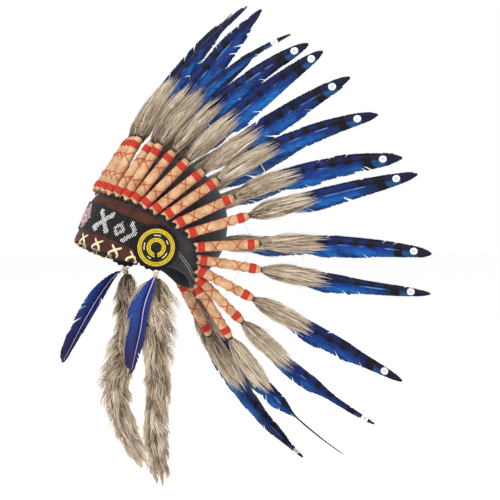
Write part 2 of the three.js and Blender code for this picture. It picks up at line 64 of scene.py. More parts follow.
def picture_axes():
    """Right, up and back of the picture: back points from the object to the camera."""
    ca, sa, ce, se = math.cos(AZIMUTH), math.sin(AZIMUTH), math.cos(ELEVATION), math.sin(ELEVATION)
    return np.array([ca, sa, 0]), np.array([-se * sa, se * ca, ce]), np.array([sa * ce, -ca * ce, se])


RIGHT, UP, BACK = picture_axes()
camera = bpy.data.objects.new("camera", bpy.data.cameras.new("camera"))
camera.data.lens = LENS
camera.data.clip_end = 50
bpy.context.scene.collection.objects.link(camera)
place = RIGHT * CAMERA_TARGET[0] + UP * CAMERA_TARGET[1] + BACK * CAMERA_DISTANCE
matrix = np.eye(4)
matrix[:3, :3] = np.stack([RIGHT, UP, BACK], 1)
matrix[:3, 3] = place * MM
camera.matrix_world = Matrix(matrix.tolist())
bpy.context.scene.camera = camera
print("camera at", (place * MM).round(3))

# %% [markdown]
# ## Light
# The photograph was taken on white with soft light from above the camera. A bright world fills the shadows,
# one large lamp from the upper left gives the sheen on feathers and beads, a weaker one behind lights the
# edges, and a pale floor below the longest drop catches what little shadow there is.

# %% Stage
FLOOR_Z = -345
SKY_LIGHT = 0.62  # what the sky gives the object; the camera sees it as white paper
# each lamp's name, its place and aim in metres, the side of its square in metres, and its power in watts
LAMPS = (("key", (2.0, -1.3, 2.0), (0, 0.1, 0), 1.0, 62), ("rim", (-1.2, 1.8, 1.6), (0, 0.1, 0), 1.6, 16))


def area_lamp(name, position, aim, size, power):
    """A square lamp at a point in metres, turned so that its -Z looks at aim."""
    lamp = bpy.data.objects.new(name, bpy.data.lights.new(name, "AREA"))
    lamp.data.size, lamp.data.energy = size, power
    position, aim = np.array(position), np.array(aim)
    back = (position - aim) / np.linalg.norm(position - aim)
    side = np.cross([0, 0, 1], back)
    side /= np.linalg.norm(side)
    m = np.eye(4)
    m[:3, :3] = np.stack([side, np.cross(back, side), back], 1)
    m[:3, 3] = position
    lamp.matrix_world = Matrix(m.tolist())
    bpy.context.scene.collection.objects.link(lamp)


world = bpy.data.worlds.new("studio")
world.use_nodes = True
sky = world.node_tree
sky.nodes["Background"].inputs["Color"].default_value = (1, 1, 1, 1)
sky.nodes["Background"].inputs["Strength"].default_value = SKY_LIGHT
paper_sky = sky.nodes.new("ShaderNodeBackground")
paper_sky.inputs["Color"].default_value = (1, 1, 1, 1)
seen = sky.nodes.new("ShaderNodeMixShader")
sky.links.new(sky.nodes.new("ShaderNodeLightPath").outputs["Is Camera Ray"], seen.inputs[0])
sky.links.new(sky.nodes["Background"].outputs[0], seen.inputs[1])
sky.links.new(paper_sky.outputs[0], seen.inputs[2])
sky.links.new(seen.outputs[0], sky.nodes["World Output"].inputs["Surface"])
bpy.context.scene.world = world
bpy.context.scene.view_settings.view_transform = "Standard"
for lamp_row in LAMPS:
    area_lamp(*lamp_row)
print("lamps", len(LAMPS))

# %% [markdown]
# ## Mesh tools
# Most of this object is thin and long: sleeves, threads, barbs, hairs, thongs. One tool makes them all: a
# ring of points is carried along a path, with a frame built from the path's direction and a reference
# direction. Many copies share one grid, so thousands of hairs are a single array.


# %% Mesh tools
def unit(v):
    """Vectors divided by their length."""
    return v / np.maximum(np.linalg.norm(v, axis=-1, keepdims=True), 1e-9)


def smooth_step(low, high, x):
    """0 below low, 1 above high and 3t^2 - 2t^3 between them."""
    t = np.clip((x - low) / (high - low), 0, 1)
    return t * t * (3 - 2 * t)


def through(xs, ys, at):
    """A smooth curve through a table: a cubic between knots, its slope at a knot that of the line between
    the neighbouring knots, and flat beyond the ends."""
    xs, ys = np.asarray(xs, float), np.asarray(ys, float)
    at = np.clip(np.asarray(at, float), xs[0], xs[-1])
    i = np.clip(np.searchsorted(xs, at, side="right") - 1, 0, len(xs) - 2)
    slope = np.empty_like(ys)
    slope[1:-1] = (ys[2:] - ys[:-2]) / (xs[2:] - xs[:-2])
    slope[0] = (ys[1] - ys[0]) / (xs[1] - xs[0])
    slope[-1] = (ys[-1] - ys[-2]) / (xs[-1] - xs[-2])
    w = xs[i + 1] - xs[i]
    t = (at - xs[i]) / w
    t2, t3 = t * t, t * t * t
    return ((2 * t3 - 3 * t2 + 1) * ys[i] + (t3 - 2 * t2 + t) * w * slope[i]
            + (3 * t2 - 2 * t3) * ys[i + 1] + (t3 - t2) * w * slope[i + 1])


def tube_faces(copies, rows, cols):
    """Quads between neighbouring rings and a cap on each end, for so many tubes (copies), each of so many
    rings (rows) of so many points (cols)."""
    i, j = np.arange(rows - 1)[:, None], np.arange(cols)[None, :]
    a, b = i * cols + j, i * cols + (j + 1) % cols
    quads = np.stack([a, b, b + cols, a + cols], -1).reshape(-1, 4)
    caps = np.stack([np.arange(cols)[::-1], (rows - 1) * cols + np.arange(cols)])
    shift = (np.arange(copies) * rows * cols)[:, None, None]
    return [(quads[None] + shift).reshape(-1, 4), (caps[None] + shift).reshape(-1, cols)]


def loop_faces(rows, cols):
    """Quads of a closed tube whose last ring joins its first, as in a hoop."""
    i, j = np.arange(rows)[:, None], np.arange(cols)[None, :]
    k = (i + 1) % rows
    m = (j + 1) % cols
    return [np.stack([i * cols + j, i * cols + m, k * cols + m, k * cols + j], -1).reshape(-1, 4)]


def path_frame(path, out, closed=False):
    """Along a path (..., rows, 3): side = out x ahead, and out made square to ahead."""
    if closed:
        ahead = unit(np.roll(path, -1, -2) - np.roll(path, 1, -2))
    else:
        ahead = unit(np.gradient(path, axis=-2))
    side = unit(np.cross(np.broadcast_to(out, path.shape), ahead))
    return side, np.cross(ahead, side)


def sweep(path, out, wide, deep, cols, turn=0.0, closed=False):
    """Rings along a path: point = path + side wide cos t + out deep sin t, with t = turn + 2 pi j / cols."""
    side, up = path_frame(path, out, closed)
    t = np.asarray(turn)[..., None] + np.arange(cols) * 2 * math.pi / cols
    t = np.broadcast_to(t, path.shape[:-1] + (cols,))
    wide = np.broadcast_to(np.asarray(wide, float), path.shape[:-1])[..., None, None]
    deep = np.broadcast_to(np.asarray(deep, float), path.shape[:-1])[..., None, None]
    return (path[..., None, :] + side[..., None, :] * wide * np.cos(t)[..., None]
            + up[..., None, :] * deep * np.sin(t)[..., None])


def outward(points, faces):
    """The faces, turned round if the volume that they close comes out negative: a sixth of the sum of the
    triple products of each triangle's corners."""
    points = np.asarray(points, float).reshape(-1, 3)
    points = points - points.mean(0)
    volume = sum(np.einsum("ij,ij->", points[f[:, 0]], np.cross(points[f[:, k]], points[f[:, k + 1]]))
                 for f in faces for k in range(1, f.shape[1] - 1))
    return faces if volume > 0 else [f[:, ::-1] for f in faces]


def add_piece(name, points, faces, material, slot, replaced=(), fields=None, smooth=True):
    """A mesh object from points in millimetres, arrays of equal-sided faces and per-point fields."""
    mesh = bpy.data.meshes.new(name)
    points = np.asarray(points, float).reshape(-1, 3) * MM
    faces = outward(points, faces)
    corners = np.concatenate([f.ravel() for f in faces])
    sizes = np.concatenate([np.full(len(f), f.shape[1]) for f in faces])
    mesh.vertices.add(len(points))
    mesh.vertices.foreach_set("co", points.ravel())
    mesh.loops.add(len(corners))
    mesh.loops.foreach_set("vertex_index", corners.astype(np.int32))
    mesh.polygons.add(len(sizes))
    mesh.polygons.foreach_set("loop_start", np.concatenate([[0], np.cumsum(sizes)[:-1]]).astype(np.int32))
    mesh.update(calc_edges=True)
    mesh.polygons.foreach_set("use_smooth", np.full(len(sizes), smooth))
    for key, values in (fields or {}).items():
        values = np.asarray(values, float)
        if values.shape == (len(points), 3):
            data = mesh.attributes.new(key, "FLOAT_VECTOR", "POINT").data
            data.foreach_set("vector", values.ravel())
        else:
            data = mesh.attributes.new(key, "FLOAT", "POINT").data
            data.foreach_set("value", np.broadcast_to(values, len(points)).ravel())
    mesh.materials.append(material)
    piece = bpy.data.objects.new(name, mesh)
    bpy.context.scene.collection.objects.link(piece)
    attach(piece, "root")
    if replaced:
        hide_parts(*replaced)
    return piece


def joined(parts):
    """Several (points, faces) as one: the second's face numbers start after the first's points."""
    points, faces, start = [], [], 0
    for p, f in parts:
        p = np.asarray(p).reshape(-1, 3)
        points.append(p)
        faces += [g + start for g in outward(p, f)]
        start += len(p)
    return np.concatenate(points), faces


# %% [markdown]
# ## Material tools
# Every finish is a small node tree. A few helpers keep each one short: a maths node, a mix, a noise, and a
# shader whose fixed numbers sit directly on its sockets. Patterns read Object coordinates or a field that
# the mesh carries, so they stay on the piece when it moves.


# %% Material tools
class Finish:
    """A node tree under construction. Its methods add a node and give back the socket it puts out."""

    def __init__(self, name, **sockets):
        """A new material; sockets are the shader's fixed numbers by name."""
        self.material = bpy.data.materials.new(name)
        self.material.use_nodes = True
        self.tree = self.material.node_tree
        self.shader = self.tree.nodes["Principled BSDF"]
        for key, value in sockets.items():
            self.shader.inputs[key.replace("_", " ")].default_value = value

    def node(self, kind, **inputs):
        """A node of a kind, with i0, i1 and i2 fed to its inputs of those numbers."""
        made = self.tree.nodes.new(kind)
        for key, value in inputs.items():
            self.feed(made.inputs[int(key[1:])], value)
        return made

    def feed(self, socket, value):
        """A link where the value is a socket, and otherwise the value itself."""
        if isinstance(value, bpy.types.NodeSocket):
            self.tree.links.new(value, socket)
        elif socket.type == "RGBA" and not isinstance(value, (int, float)):
            socket.default_value = (*value[:3], 1)
        else:
            socket.default_value = value

    def math(self, operation, a, b=0.0, c=0.0, clamp=False):
        """One operation on up to three numbers."""
        made = self.node("ShaderNodeMath", i0=a, i1=b, i2=c)
        made.operation, made.use_clamp = operation, clamp
        return made.outputs[0]

    def step(self, x, low, high):
        """0 below low and 1 above high, smooth between; the other way round where low is above high."""
        made = self.tree.nodes.new("ShaderNodeMapRange")
        made.interpolation_type = "SMOOTHSTEP"
        if low > high:
            low, high, ends = high, low, (1, 0)
        else:
            ends = (0, 1)
        sockets = ("Value", "From Min", "From Max", "To Min", "To Max")
        for socket, value in zip(sockets, (x, low, high, *ends)):
            self.feed(made.inputs[socket], value)
        return made.outputs[0]

    def both(self, a, b):
        """a times b, which means "and" where both run from 0 to 1."""
        return self.math("MULTIPLY", a, b)

    def mix(self, share, a, b):
        """Colour a where share is 0 and colour b where it is 1."""
        made = self.tree.nodes.new("ShaderNodeMix")
        made.data_type = "RGBA"
        for socket, value in zip((made.inputs[0], made.inputs[6], made.inputs[7]), (share, a, b)):
            self.feed(socket, value)
        return made.outputs[2]

    def field(self, name, output="Fac"):
        """A value that the mesh carries at each point."""
        made = self.tree.nodes.new("ShaderNodeAttribute")
        made.attribute_name = name
        return made.outputs[output]

    def place(self):
        """The point in Object coordinates."""
        return self.tree.nodes.new("ShaderNodeTexCoord").outputs["Object"]

    def split(self, vector):
        """A vector's three numbers."""
        return self.node("ShaderNodeSeparateXYZ", i0=vector).outputs

    def vector(self, x, y, z):
        """Three numbers as a vector."""
        return self.node("ShaderNodeCombineXYZ", i0=x, i1=y, i2=z).outputs[0]

    def noise(self, where, scale, detail=3.0, rough=0.55):
        """Smooth noise from 0 to 1 at a place, finer as scale grows."""
        made = self.tree.nodes.new("ShaderNodeTexNoise")
        self.feed(made.inputs["Vector"], where)
        for key, value in (("Scale", scale), ("Detail", detail), ("Roughness", rough)):
            made.inputs[key].default_value = value
        return made.outputs["Fac"]

    def bump(self, height, strength, distance):
        """Lean the shader's normal by the slope of height."""
        made = self.tree.nodes.new("ShaderNodeBump")
        self.feed(made.inputs["Height"], height)
        made.inputs["Strength"].default_value, made.inputs["Distance"].default_value = strength, distance
        self.tree.links.new(made.outputs[0], self.shader.inputs["Normal"])

    def colour(self, socket):
        """Set the base colour, and give the finished material."""
        self.tree.links.new(socket, self.shader.inputs["Base Color"])
        return self.material


def rgb(red, green, blue):
    """A screen colour, 0 to 255, as the linear light that a shader takes."""
    c = np.array([red, green, blue]) / 255
    return tuple(np.where(c < 0.04045, c / 12.92, ((c + 0.055) / 1.055) ** 2.4))


# %% [markdown]
# ## The cap as a surface
# A cap is a stack of rounded sections. A table gives each section's reach to the front, the back and the
# side; a point on the felt is then a function of an angle from the brow and a height. The whole cap leans
# back on the head, so points are worked out upright and turned at the end.

# %% The cap's surface
CAP_LENGTH, CAP_WIDTH, CAP_HEIGHT, CAP_TILT = 191, 160, 153, math.radians(22)
FELT, SEAT_GAP = 2.4, 0.5
SECTION_RISE = [-0.07, 0, 0.13, 0.28, 0.39, 0.51, 0.7, 0.85, 0.95, 1]
SECTION_FRONT = [0.462, 0.461, 0.461, 0.459, 0.448, 0.416, 0.34, 0.25, 0.14, -0.03]
SECTION_BACK = [0.417, 0.44, 0.482, 0.524, 0.539, 0.537, 0.478, 0.38, 0.25, 0.075]
SECTION_SIDE = [0.463, 0.469, 0.481, 0.494, 0.5, 0.494, 0.444, 0.35, 0.225, 0.045]
EDGE_ANGLE = [0, 28, 50, 66, 79, 90, 99, 108, 126, 140, 153, 180]
EDGES = {
    "rim": [0.012, -0.005, -0.01, -0.01, 0, 0.02, 0.045, 0.056, 0.05, 0.015, -0.02, -0.025],
    "hem": [-0.008, -0.023, -0.028, -0.028, -0.014, 0.01, 0.06, 0.06, 0.06, 0.06, 0.06, 0.06],
    "top": [0.43, 0.428, 0.42, 0.402, 0.385, 0.35, 0.285, 0.29, 0.29, 0.29, 0.29, 0.29],
    "low": [0.108, 0.1, 0.092, 0.086, 0.08, 0.08, 0.08, 0.08, 0.08, 0.08, 0.08, 0.08],
    "high": [0.355, 0.345, 0.325, 0.312, 0.31, 0.31, 0.31, 0.31, 0.31, 0.31, 0.31, 0.31],
}


def edge(angle, column):
    """Height of one of the cap's edges at an angle from the brow, the same on both sides."""
    return through(EDGE_ANGLE, EDGES[column], np.minimum(np.abs(angle), 180)) * CAP_HEIGHT


def cap_reach(height):
    """Front, back and side of the section at a height."""
    rise = height / CAP_HEIGHT
    return (through(SECTION_RISE, SECTION_FRONT, rise) * CAP_LENGTH,
            through(SECTION_RISE, SECTION_BACK, rise) * CAP_LENGTH,
            through(SECTION_RISE, SECTION_SIDE, rise) * CAP_WIDTH)


def cap_skin(angle, height):
    """x = side sin a, y = (back - front)/2 - (back + front)/2 cos a, z = height."""
    angle, height = np.broadcast_arrays(np.radians(angle), np.asarray(height, float))
    front, back, side = cap_reach(height)
    along = (back - front) / 2 - (back + front) / 2 * np.cos(angle)
    return np.stack([side * np.sin(angle), along, height], -1)


def cap_normal(angle, height):
    """The cross product of the slopes round the cap and up it."""
    height = np.asarray(height, float)
    around = cap_skin(angle + 0.5, height) - cap_skin(angle - 0.5, height)
    up = cap_skin(angle, np.minimum(height + 1, CAP_HEIGHT - 0.5)) - cap_skin(angle, height - 1)
    return unit(np.cross(around, up))


def cap_point(angle, height, lift):
    """A point that stands off the felt by lift, along the surface's normal."""
    angle, height, lift = np.broadcast_arrays(*(np.asarray(v, float) for v in (angle, height, lift)))
    return cap_skin(angle, height) + cap_normal(angle, height) * lift[..., None]


def on_head(points):
    """Turned back by the cap's tilt about X."""
    c, s = math.cos(CAP_TILT), math.sin(CAP_TILT)
    x, y, z = np.moveaxis(np.asarray(points, float), -1, 0)
    return np.stack([x, y * c + z * s, z * c - y * s], -1)


def felt_gap(point):
    """How far a point near the cap stands off the felt: its way from the skin at its own angle and height,
    measured along the normal."""
    front, back, side = cap_reach(point[..., 2])
    middle, half_length = (back - front) / 2, (back + front) / 2
    angle = np.degrees(np.arctan2(point[..., 0] / side, (middle - point[..., 1]) / half_length))
    return ((point - cap_skin(angle, point[..., 2])) * cap_normal(angle, point[..., 2])).sum(-1)


print("cap, brow to nape", float(np.ptp(cap_skin(np.arange(360), 60)[:, 1])))

# %% [markdown]
# ## Felt
# Felt is pressed wool: nearly black here, matt, with a fine fuzz that catches the light at grazing angles.
# The shell is one closed surface, out over the crown and back inside, with a rounded lower edge and a slack
# fold where the back of the cap stands empty.

# %% Felt cap
FELT_DARK, FELT_LIGHT = rgb(34, 33, 37), rgb(66, 64, 69)
FOLD_DEPTH, FOLD_HEIGHT, FOLD_ANGLE = 1.6, (84, 7), (150, 26)  # how deep, then middle and spread each way


def felt_finish():
    """Fine fibre and broad clouds, which both lighten the black and raise the surface a little."""
    f = Finish("felt", Roughness=0.95, Sheen_Weight=0.12, Sheen_Roughness=0.6, Specular_IOR_Level=0.2)
    where = f.place()
    fibre, cloud = f.noise(where, 900, 4, 0.7), f.noise(where, 45, 3)
    f.bump(f.math("ADD", fibre, cloud), 0.5, 0.0006)
    light = f.math("ADD", f.both(fibre, 0.7), f.both(cloud, 0.5))
    return f.colour(f.mix(f.step(light, 0.45, 0.85), FELT_DARK, FELT_LIGHT))


def cap_shell(cols=144, rows=48):
    """Rings from the inside crown down to the rim, round it and up to the outside crown. share runs from 0
    at the rim to 1 at the crown, and the fold is a bell curve of height times one of angle."""
    angle = np.arange(cols) * 360 / cols - 180
    share = 1 - np.linspace(1, 0.02, rows) ** 1.25
    low = edge(angle, "rim")[None, :]
    outer_h = low + share[:, None] * (CAP_HEIGHT - low)
    fold = FOLD_DEPTH * np.exp(-((outer_h - FOLD_HEIGHT[0]) / FOLD_HEIGHT[1]) ** 2)
    fold = fold * np.exp(-((np.abs(angle)[None, :] - FOLD_ANGLE[0]) / FOLD_ANGLE[1]) ** 2)
    outer = cap_point(angle[None, :], outer_h, -fold)
    inner_share = share[::3]
    inner_h = low + inner_share[:, None] * (CAP_HEIGHT - low)
    inner = cap_point(angle[None, :], inner_h, -FELT)[::-1]
    inner[..., 2] = np.minimum(inner[..., 2], CAP_HEIGHT - FELT)
    lip = cap_point(angle[None, :], low - 0.5, -FELT / 2)
    return np.concatenate([inner, lip, outer])


felt = felt_finish()
rings = cap_shell()
add_piece("felt_shell", on_head(rings), tube_faces(1, *rings.shape[:2]), felt, "felt", ["felt_cap"])
print("felt cap", rings.shape)

# %% [markdown]
# ## Suede band
# The brow band is a strip of reddish-brown suede. Its nap is brushed, so light and dark patches follow the
# hand. Its cross section is carried round the cap: flat outside, rounded at both edges, closed at both ends.

# %% Brow band
BAND_THICKNESS, BAND_REACH = 2.2, 100
STRIP_REACH, BACKING_THICKNESS = 70, 0.6
STRIP_LIFT = SEAT_GAP * 2 + BAND_THICKNESS


def suede_finish(name, dark, light, patch=60.0):
    """A fine nap with brushed patches about a metre over patch across."""
    f = Finish(name, Roughness=0.9, Sheen_Weight=0.1, Sheen_Roughness=0.5, Specular_IOR_Level=0.2)
    where = f.place()
    nap, brushed = f.noise(where, 1400, 3, 0.7), f.noise(where, patch, 4, 0.6)
    f.bump(f.math("ADD", nap, f.both(brushed, 0.6)), 0.45, 0.0005)
    shine = f.math("ADD", f.both(nap, 0.45), f.both(brushed, 0.75))
    return f.colour(f.mix(f.step(shine, 0.35, 0.85), dark, light))


def wrapped_strip(reach, low_key, high_key, lift, thickness, cols, rows=9):
    """Sections square to the cap: up the outside from the lower edge, over, and down the inside. The corners
    are drawn in by a third of the thickness."""
    angle = np.linspace(-reach, reach, cols)[:, None]
    low, high = edge(angle, low_key), edge(angle, high_key)
    t = np.linspace(0, 1, rows)
    share = np.concatenate([t, [1.0], t[::-1], [0.0]])[None, :]
    height = low + (high - low) * share
    crown = np.concatenate([[0.72], np.ones(rows - 2), [0.72], [0.5], np.zeros(rows), [0.5]])
    height = height + np.concatenate([np.zeros(rows), [0.5], np.zeros(rows), [-0.5]])[None, :]
    return cap_point(angle, height, lift + thickness * crown[None, :])


brown_suede = suede_finish("brown suede", rgb(48, 25, 21), rgb(88, 48, 40))
rings = wrapped_strip(BAND_REACH, "hem", "top", SEAT_GAP, BAND_THICKNESS, 121)
add_piece("suede_band", on_head(rings), tube_faces(1, *rings.shape[:2]), brown_suede, "suede", ["brow_band"])
print("brow band", rings.shape)

# %% [markdown]
# ## Seed beads
# A loomed strip is rows of glass beads about two millimetres across, each a short barrel. The motifs are
# simple and old ones: an X, a diamond, a chevron. Every bead asks which motif it lies in and takes its dye
# from that, so the pattern is made of whole beads as it is on a loom.

# %% Seed beads
BEAD_PITCH, BEAD_ROWS = 2.3, 18
BEAD_LENGTH, BEAD_RADIUS, BEAD_LIFT = 1.9, 0.8, 0.95
BARREL_U, BARREL_SIDES, BARREL_CURVE = np.array([-1, -0.45, 0.45, 1]), 6, 0.62
BEAD_POINTS = len(BARREL_U) * BARREL_SIDES
BLACK = np.array(rgb(12, 12, 14))
WHITE = np.array(rgb(236, 232, 226))
ROSE = np.array(rgb(226, 196, 196))
OXBLOOD = np.array(rgb(110, 22, 28))
YELLOW = np.array(rgb(233, 205, 40))
CREAM = np.array(rgb(246, 232, 190))


def barrels(centres, axis, out, length, radius):
    """Short barrels: four rings along the axis, radius r sqrt(1 - 0.62 u^2) at u from -1 to 1."""
    path = centres[:, None, :] + axis[:, None, :] * (BARREL_U * length / 2)[None, :, None]
    radius = np.broadcast_to(np.asarray(radius, float), (len(centres),))
    r = radius[:, None] * np.sqrt(1 - BARREL_CURVE * BARREL_U * BARREL_U)[None, :]
    rings = sweep(path, np.broadcast_to(out[:, None, :], path.shape), r, r, BARREL_SIDES)
    return rings, tube_faces(len(centres), len(BARREL_U), BARREL_SIDES)


def bead_finish():
    """Opaque glass in the bead's own dye, a little cloudy, under a thin clear coat."""
    f = Finish("bead glass", Roughness=0.3, Coat_Weight=0.25, Coat_Roughness=0.1, Specular_IOR_Level=0.3)
    where = f.place()
    cloudy = f.noise(where, 500, 2)
    f.bump(cloudy, 0.1, 0.0002)
    dye = f.field("dye", "Color")
    return f.colour(f.mix(f.step(cloudy, 0.3, 0.8), dye, f.mix(0.05, dye, (0.8, 0.8, 0.8))))


def near_segment(p, a, b):
    """Distance from points p (..., 2) to the segment a-b."""
    a, b = np.array(a, float), np.array(b, float)
    t = np.clip(((p - a) @ (b - a)) / ((b - a) @ (b - a)), 0, 1)
    return np.linalg.norm(p - (a + t[..., None] * (b - a)), axis=-1)


# Motifs in millimetres round the band and up it, from the brow: each a list of (from, to, half width).
# A motif's middle is an angle in degrees and a height. Diamonds have a slope and, from out to in, edges.
ARC = 1.58  # millimetres of band to a degree
X_AT, CHEVRON_AT, DIAMOND_AT, BROW_AT = (35, 34), (63, 31), (51.8, 30), (6, 34)
X_ARMS = [((-12, -12), (9, 11), 3.3), ((-9, -14), (-12, -9), 3.4), ((-11, 12), (10, -12), 3.3)]
CHEVRON = [((-5, 12), (4, 1), 3.0), ((4, 1), (-6, -13), 3.0)]
END_BAR, END_BAR_HALF = ((117, 37), (113, 44)), 1.6
DIAMOND_SLOPE, DIAMOND_EDGES = (1.05, 0.85), (9.4, 3.6)
BROW_SLOPE, BROW_EDGE, BROW_RINGS = (1.0, 0.78), 15.5, ((12.4, 10.4), (6.2, 4.2))


def from_middle(spot, at, slope):
    """|across| times the slope's first number and |up| times its second: its level lines are diamonds."""
    return np.abs(spot - np.array([at[0] * ARC, at[1]])) @ np.array(slope)


def bead_dyes(angle, height):
    """Each bead's colour by the motif it lies in."""
    side = np.abs(angle)
    spot = np.stack([side * ARC, height], -1)
    dye = np.broadcast_to(BLACK, spot.shape[:-1] + (3,)).copy()
    for arms, middle in ((X_ARMS, X_AT), (CHEVRON, CHEVRON_AT)):
        local = spot - np.array([middle[0] * ARC, middle[1]])
        for a, b, half in arms:
            dye[near_segment(local, a, b) < half] = WHITE
    ring = from_middle(spot, DIAMOND_AT, DIAMOND_SLOPE)
    dye[(ring < DIAMOND_EDGES[0]) & (ring > DIAMOND_EDGES[1])] = WHITE
    dye[ring <= DIAMOND_EDGES[1]] = OXBLOOD
    dye[near_segment(spot, *END_BAR) < END_BAR_HALF] = WHITE
    ring = from_middle(spot, BROW_AT, BROW_SLOPE)
    dye[ring < BROW_EDGE] = ROSE
    for outer, inner in BROW_RINGS:
        dye[(ring < outer) & (ring > inner)] = OXBLOOD
    return dye


def bead_strip():
    """A loom's grid over the strip: columns square to the band and rows along it, jogged by a hair."""
    cols = int(2 * STRIP_REACH * ARC / BEAD_PITCH)
    angle = np.linspace(-STRIP_REACH + 0.5, STRIP_REACH - 0.5, cols)
    t = (np.arange(BEAD_ROWS) + 0.5) / BEAD_ROWS
    low, high = edge(angle, "low")[:, None], edge(angle, "high")[:, None]
    height = low + (high - low) * t[None, :] + chance.normal(0, 0.07, (cols, BEAD_ROWS))
    angle = np.broadcast_to(angle[:, None], height.shape) + chance.normal(0, 0.05, height.shape)
    lift = STRIP_LIFT + BEAD_LIFT + chance.normal(0, 0.05, height.shape)
    centre = cap_point(angle, height, lift).reshape(-1, 3)
    out = cap_normal(angle, height).reshape(-1, 3)
    up = unit(cap_point(angle, height + 1, lift) - cap_point(angle, height - 1, lift)).reshape(-1, 3)
    radius = BEAD_RADIUS + chance.normal(0, 0.03, len(centre))
    points, faces = barrels(on_head(centre), on_head(up), on_head(out), BEAD_LENGTH, radius)
    dye = bead_dyes(angle.ravel(), height.ravel()) * chance.uniform(0.7, 1.08, (len(centre), 1))
    return points, faces, np.repeat(dye, BEAD_POINTS, 0)


glass = bead_finish()
points, faces, dye = bead_strip()
add_piece("seed_beads", points, faces, glass, "seed_beads", ["bead_strip"], {"dye": dye})
rings = wrapped_strip(STRIP_REACH, "low", "high", STRIP_LIFT, BACKING_THICKNESS, 97, 5)
black_cloth = suede_finish("bead backing", rgb(12, 11, 13), rgb(24, 22, 25))
add_piece("bead_backing", on_head(rings), tube_faces(1, *rings.shape[:2]), black_cloth, "seed_beads")
print("seed beads", len(dye) // BEAD_POINTS)

# %% [markdown]
# ## Rosettes
# A rosette is sewn from the middle out on a felt disc: circle after circle of yellow and black beads. It is
# made flat in its own plane, where a bead's place is a radius and an angle, and then carried to the side of
# the cap by a frame made from the cap's normal.

# %% Rosettes
ROSETTE_RADIUS, ROSETTE_BACKING, ROSETTE_SCALLOPS, SCALLOP = 31.5, 2.2, 22, 0.9
ROSETTE_ANGLE, ROSETTE_HEIGHT = 86, 0.165 * CAP_HEIGHT
RING_DYES = [BLACK, YELLOW, YELLOW, YELLOW, BLACK, BLACK, BLACK, YELLOW, YELLOW, YELLOW]
RING_PITCH, FIRST_RING, RING_BEAD_STEP = 2.0, 6.2, 1.9
RING_BEAD_LENGTH, RING_BEAD_RADIUS, RING_BEAD_LIFT = 1.8, 0.86, 0.9
SLOT_HALF, SLOT_FROM, SLOT_TO = 1.7, 5, 17  # the slot that runs down from the middle
DASHED_RING, DASHES = 5, ((88, 17), (24, 13), (176, 17), (316, 17), (236, 11))  # degrees: middle, half length


def rosette_frame(side):
    """Origin, across, up and outward normal of the rosette's plane, in the world."""
    normal = cap_normal(ROSETTE_ANGLE * side, ROSETTE_HEIGHT)
    origin = cap_point(ROSETTE_ANGLE * side, ROSETTE_HEIGHT, STRIP_LIFT)
    normal, origin = on_head(normal), on_head(origin)
    up = unit(np.array([0, 0, 1.0]) - normal * normal[2])
    return origin, np.cross(up, normal), up, normal


def in_plane(frame_of, x, y, z):
    """Origin + x across + y up + z along the normal."""
    origin, across, up, normal = frame_of
    return origin + x[..., None] * across + y[..., None] * up + z[..., None] * normal


def rosette_backing(frame_of):
    """A disc whose edge waves in and out by 0.9 mm, 22 times round, with a rounded edge."""
    columns = 12 * ROSETTE_SCALLOPS
    t = np.arange(columns) * 2 * math.pi / columns
    rim = ROSETTE_RADIUS - SCALLOP + SCALLOP * np.cos(ROSETTE_SCALLOPS * t)
    z = np.array([0, 0, 0.5, 1.7, ROSETTE_BACKING, ROSETTE_BACKING])
    share = np.array([0.02, 0.985, 1, 1, 0.985, 0.02])
    r = rim[None, :] * share[:, None]
    return in_plane(frame_of, r * np.cos(t), r * np.sin(t), np.broadcast_to(z[:, None], r.shape))


def rosette_beads(frame_of):
    """Circles of beads; where a pale dash interrupts the black rings, and where the slot runs down, the dye
    changes or the bead is left out."""
    across, up, dye = [], [], []
    for i, colour in enumerate([BLACK, BLACK] + RING_DYES, -2):
        r = FIRST_RING + i * RING_PITCH
        count = int(2 * math.pi * r / RING_BEAD_STEP)
        t = (np.arange(count) + 0.5 * (i % 2)) * 2 * math.pi / count
        ring_dye = np.broadcast_to(colour, (count, 3)).copy()
        if i == DASHED_RING:
            for centre, half in DASHES:
                ring_dye[np.abs((np.degrees(t) - centre + 180) % 360 - 180) < half] = CREAM
        x, y = r * np.cos(t), r * np.sin(t)
        keep = ~((np.abs(x) < SLOT_HALF) & (y < 0) & (SLOT_FROM < r) & (r < SLOT_TO))
        across.append(x[keep])
        up.append(y[keep])
        dye.append(ring_dye[keep])
    across, up, dye = np.concatenate(across), np.concatenate(up), np.concatenate(dye)
    _, ax, ay, normal = frame_of
    lift = np.full(len(across), ROSETTE_BACKING + RING_BEAD_LIFT) + chance.normal(0, 0.06, len(across))
    centre = in_plane(frame_of, across, up, lift)
    around = unit(-up[:, None] * ax + across[:, None] * ay)
    out = np.broadcast_to(normal, centre.shape)
    points, faces = barrels(centre, around, out, RING_BEAD_LENGTH, RING_BEAD_RADIUS)
    return points, faces, np.repeat(dye * chance.uniform(0.88, 1.08, (len(dye), 1)), BEAD_POINTS, 0)


for name, side in SIDES:
    plane = rosette_frame(side)
    points, faces, dye = rosette_beads(plane)
    add_piece(f"rosette_beads_{name}", points, faces, glass, "rosette_beads",
              [f"rosette_{name}"], {"dye": dye})
    rings = rosette_backing(plane)
    add_piece(f"rosette_felt_{name}", rings, tube_faces(1, *rings.shape[:2]), black_cloth, "felt")
print("beads on a rosette", len(dye) // BEAD_POINTS)

# %% [markdown]
# ## Where the feathers stand
# Each feather is seated on the felt just above the band, and its line is a path whose heading turns with the
# distance from its foot. All that belongs to a feather, from the suede to the last barb, is placed in the
# frame of that line: ahead along it, out from the head, and browward across it.

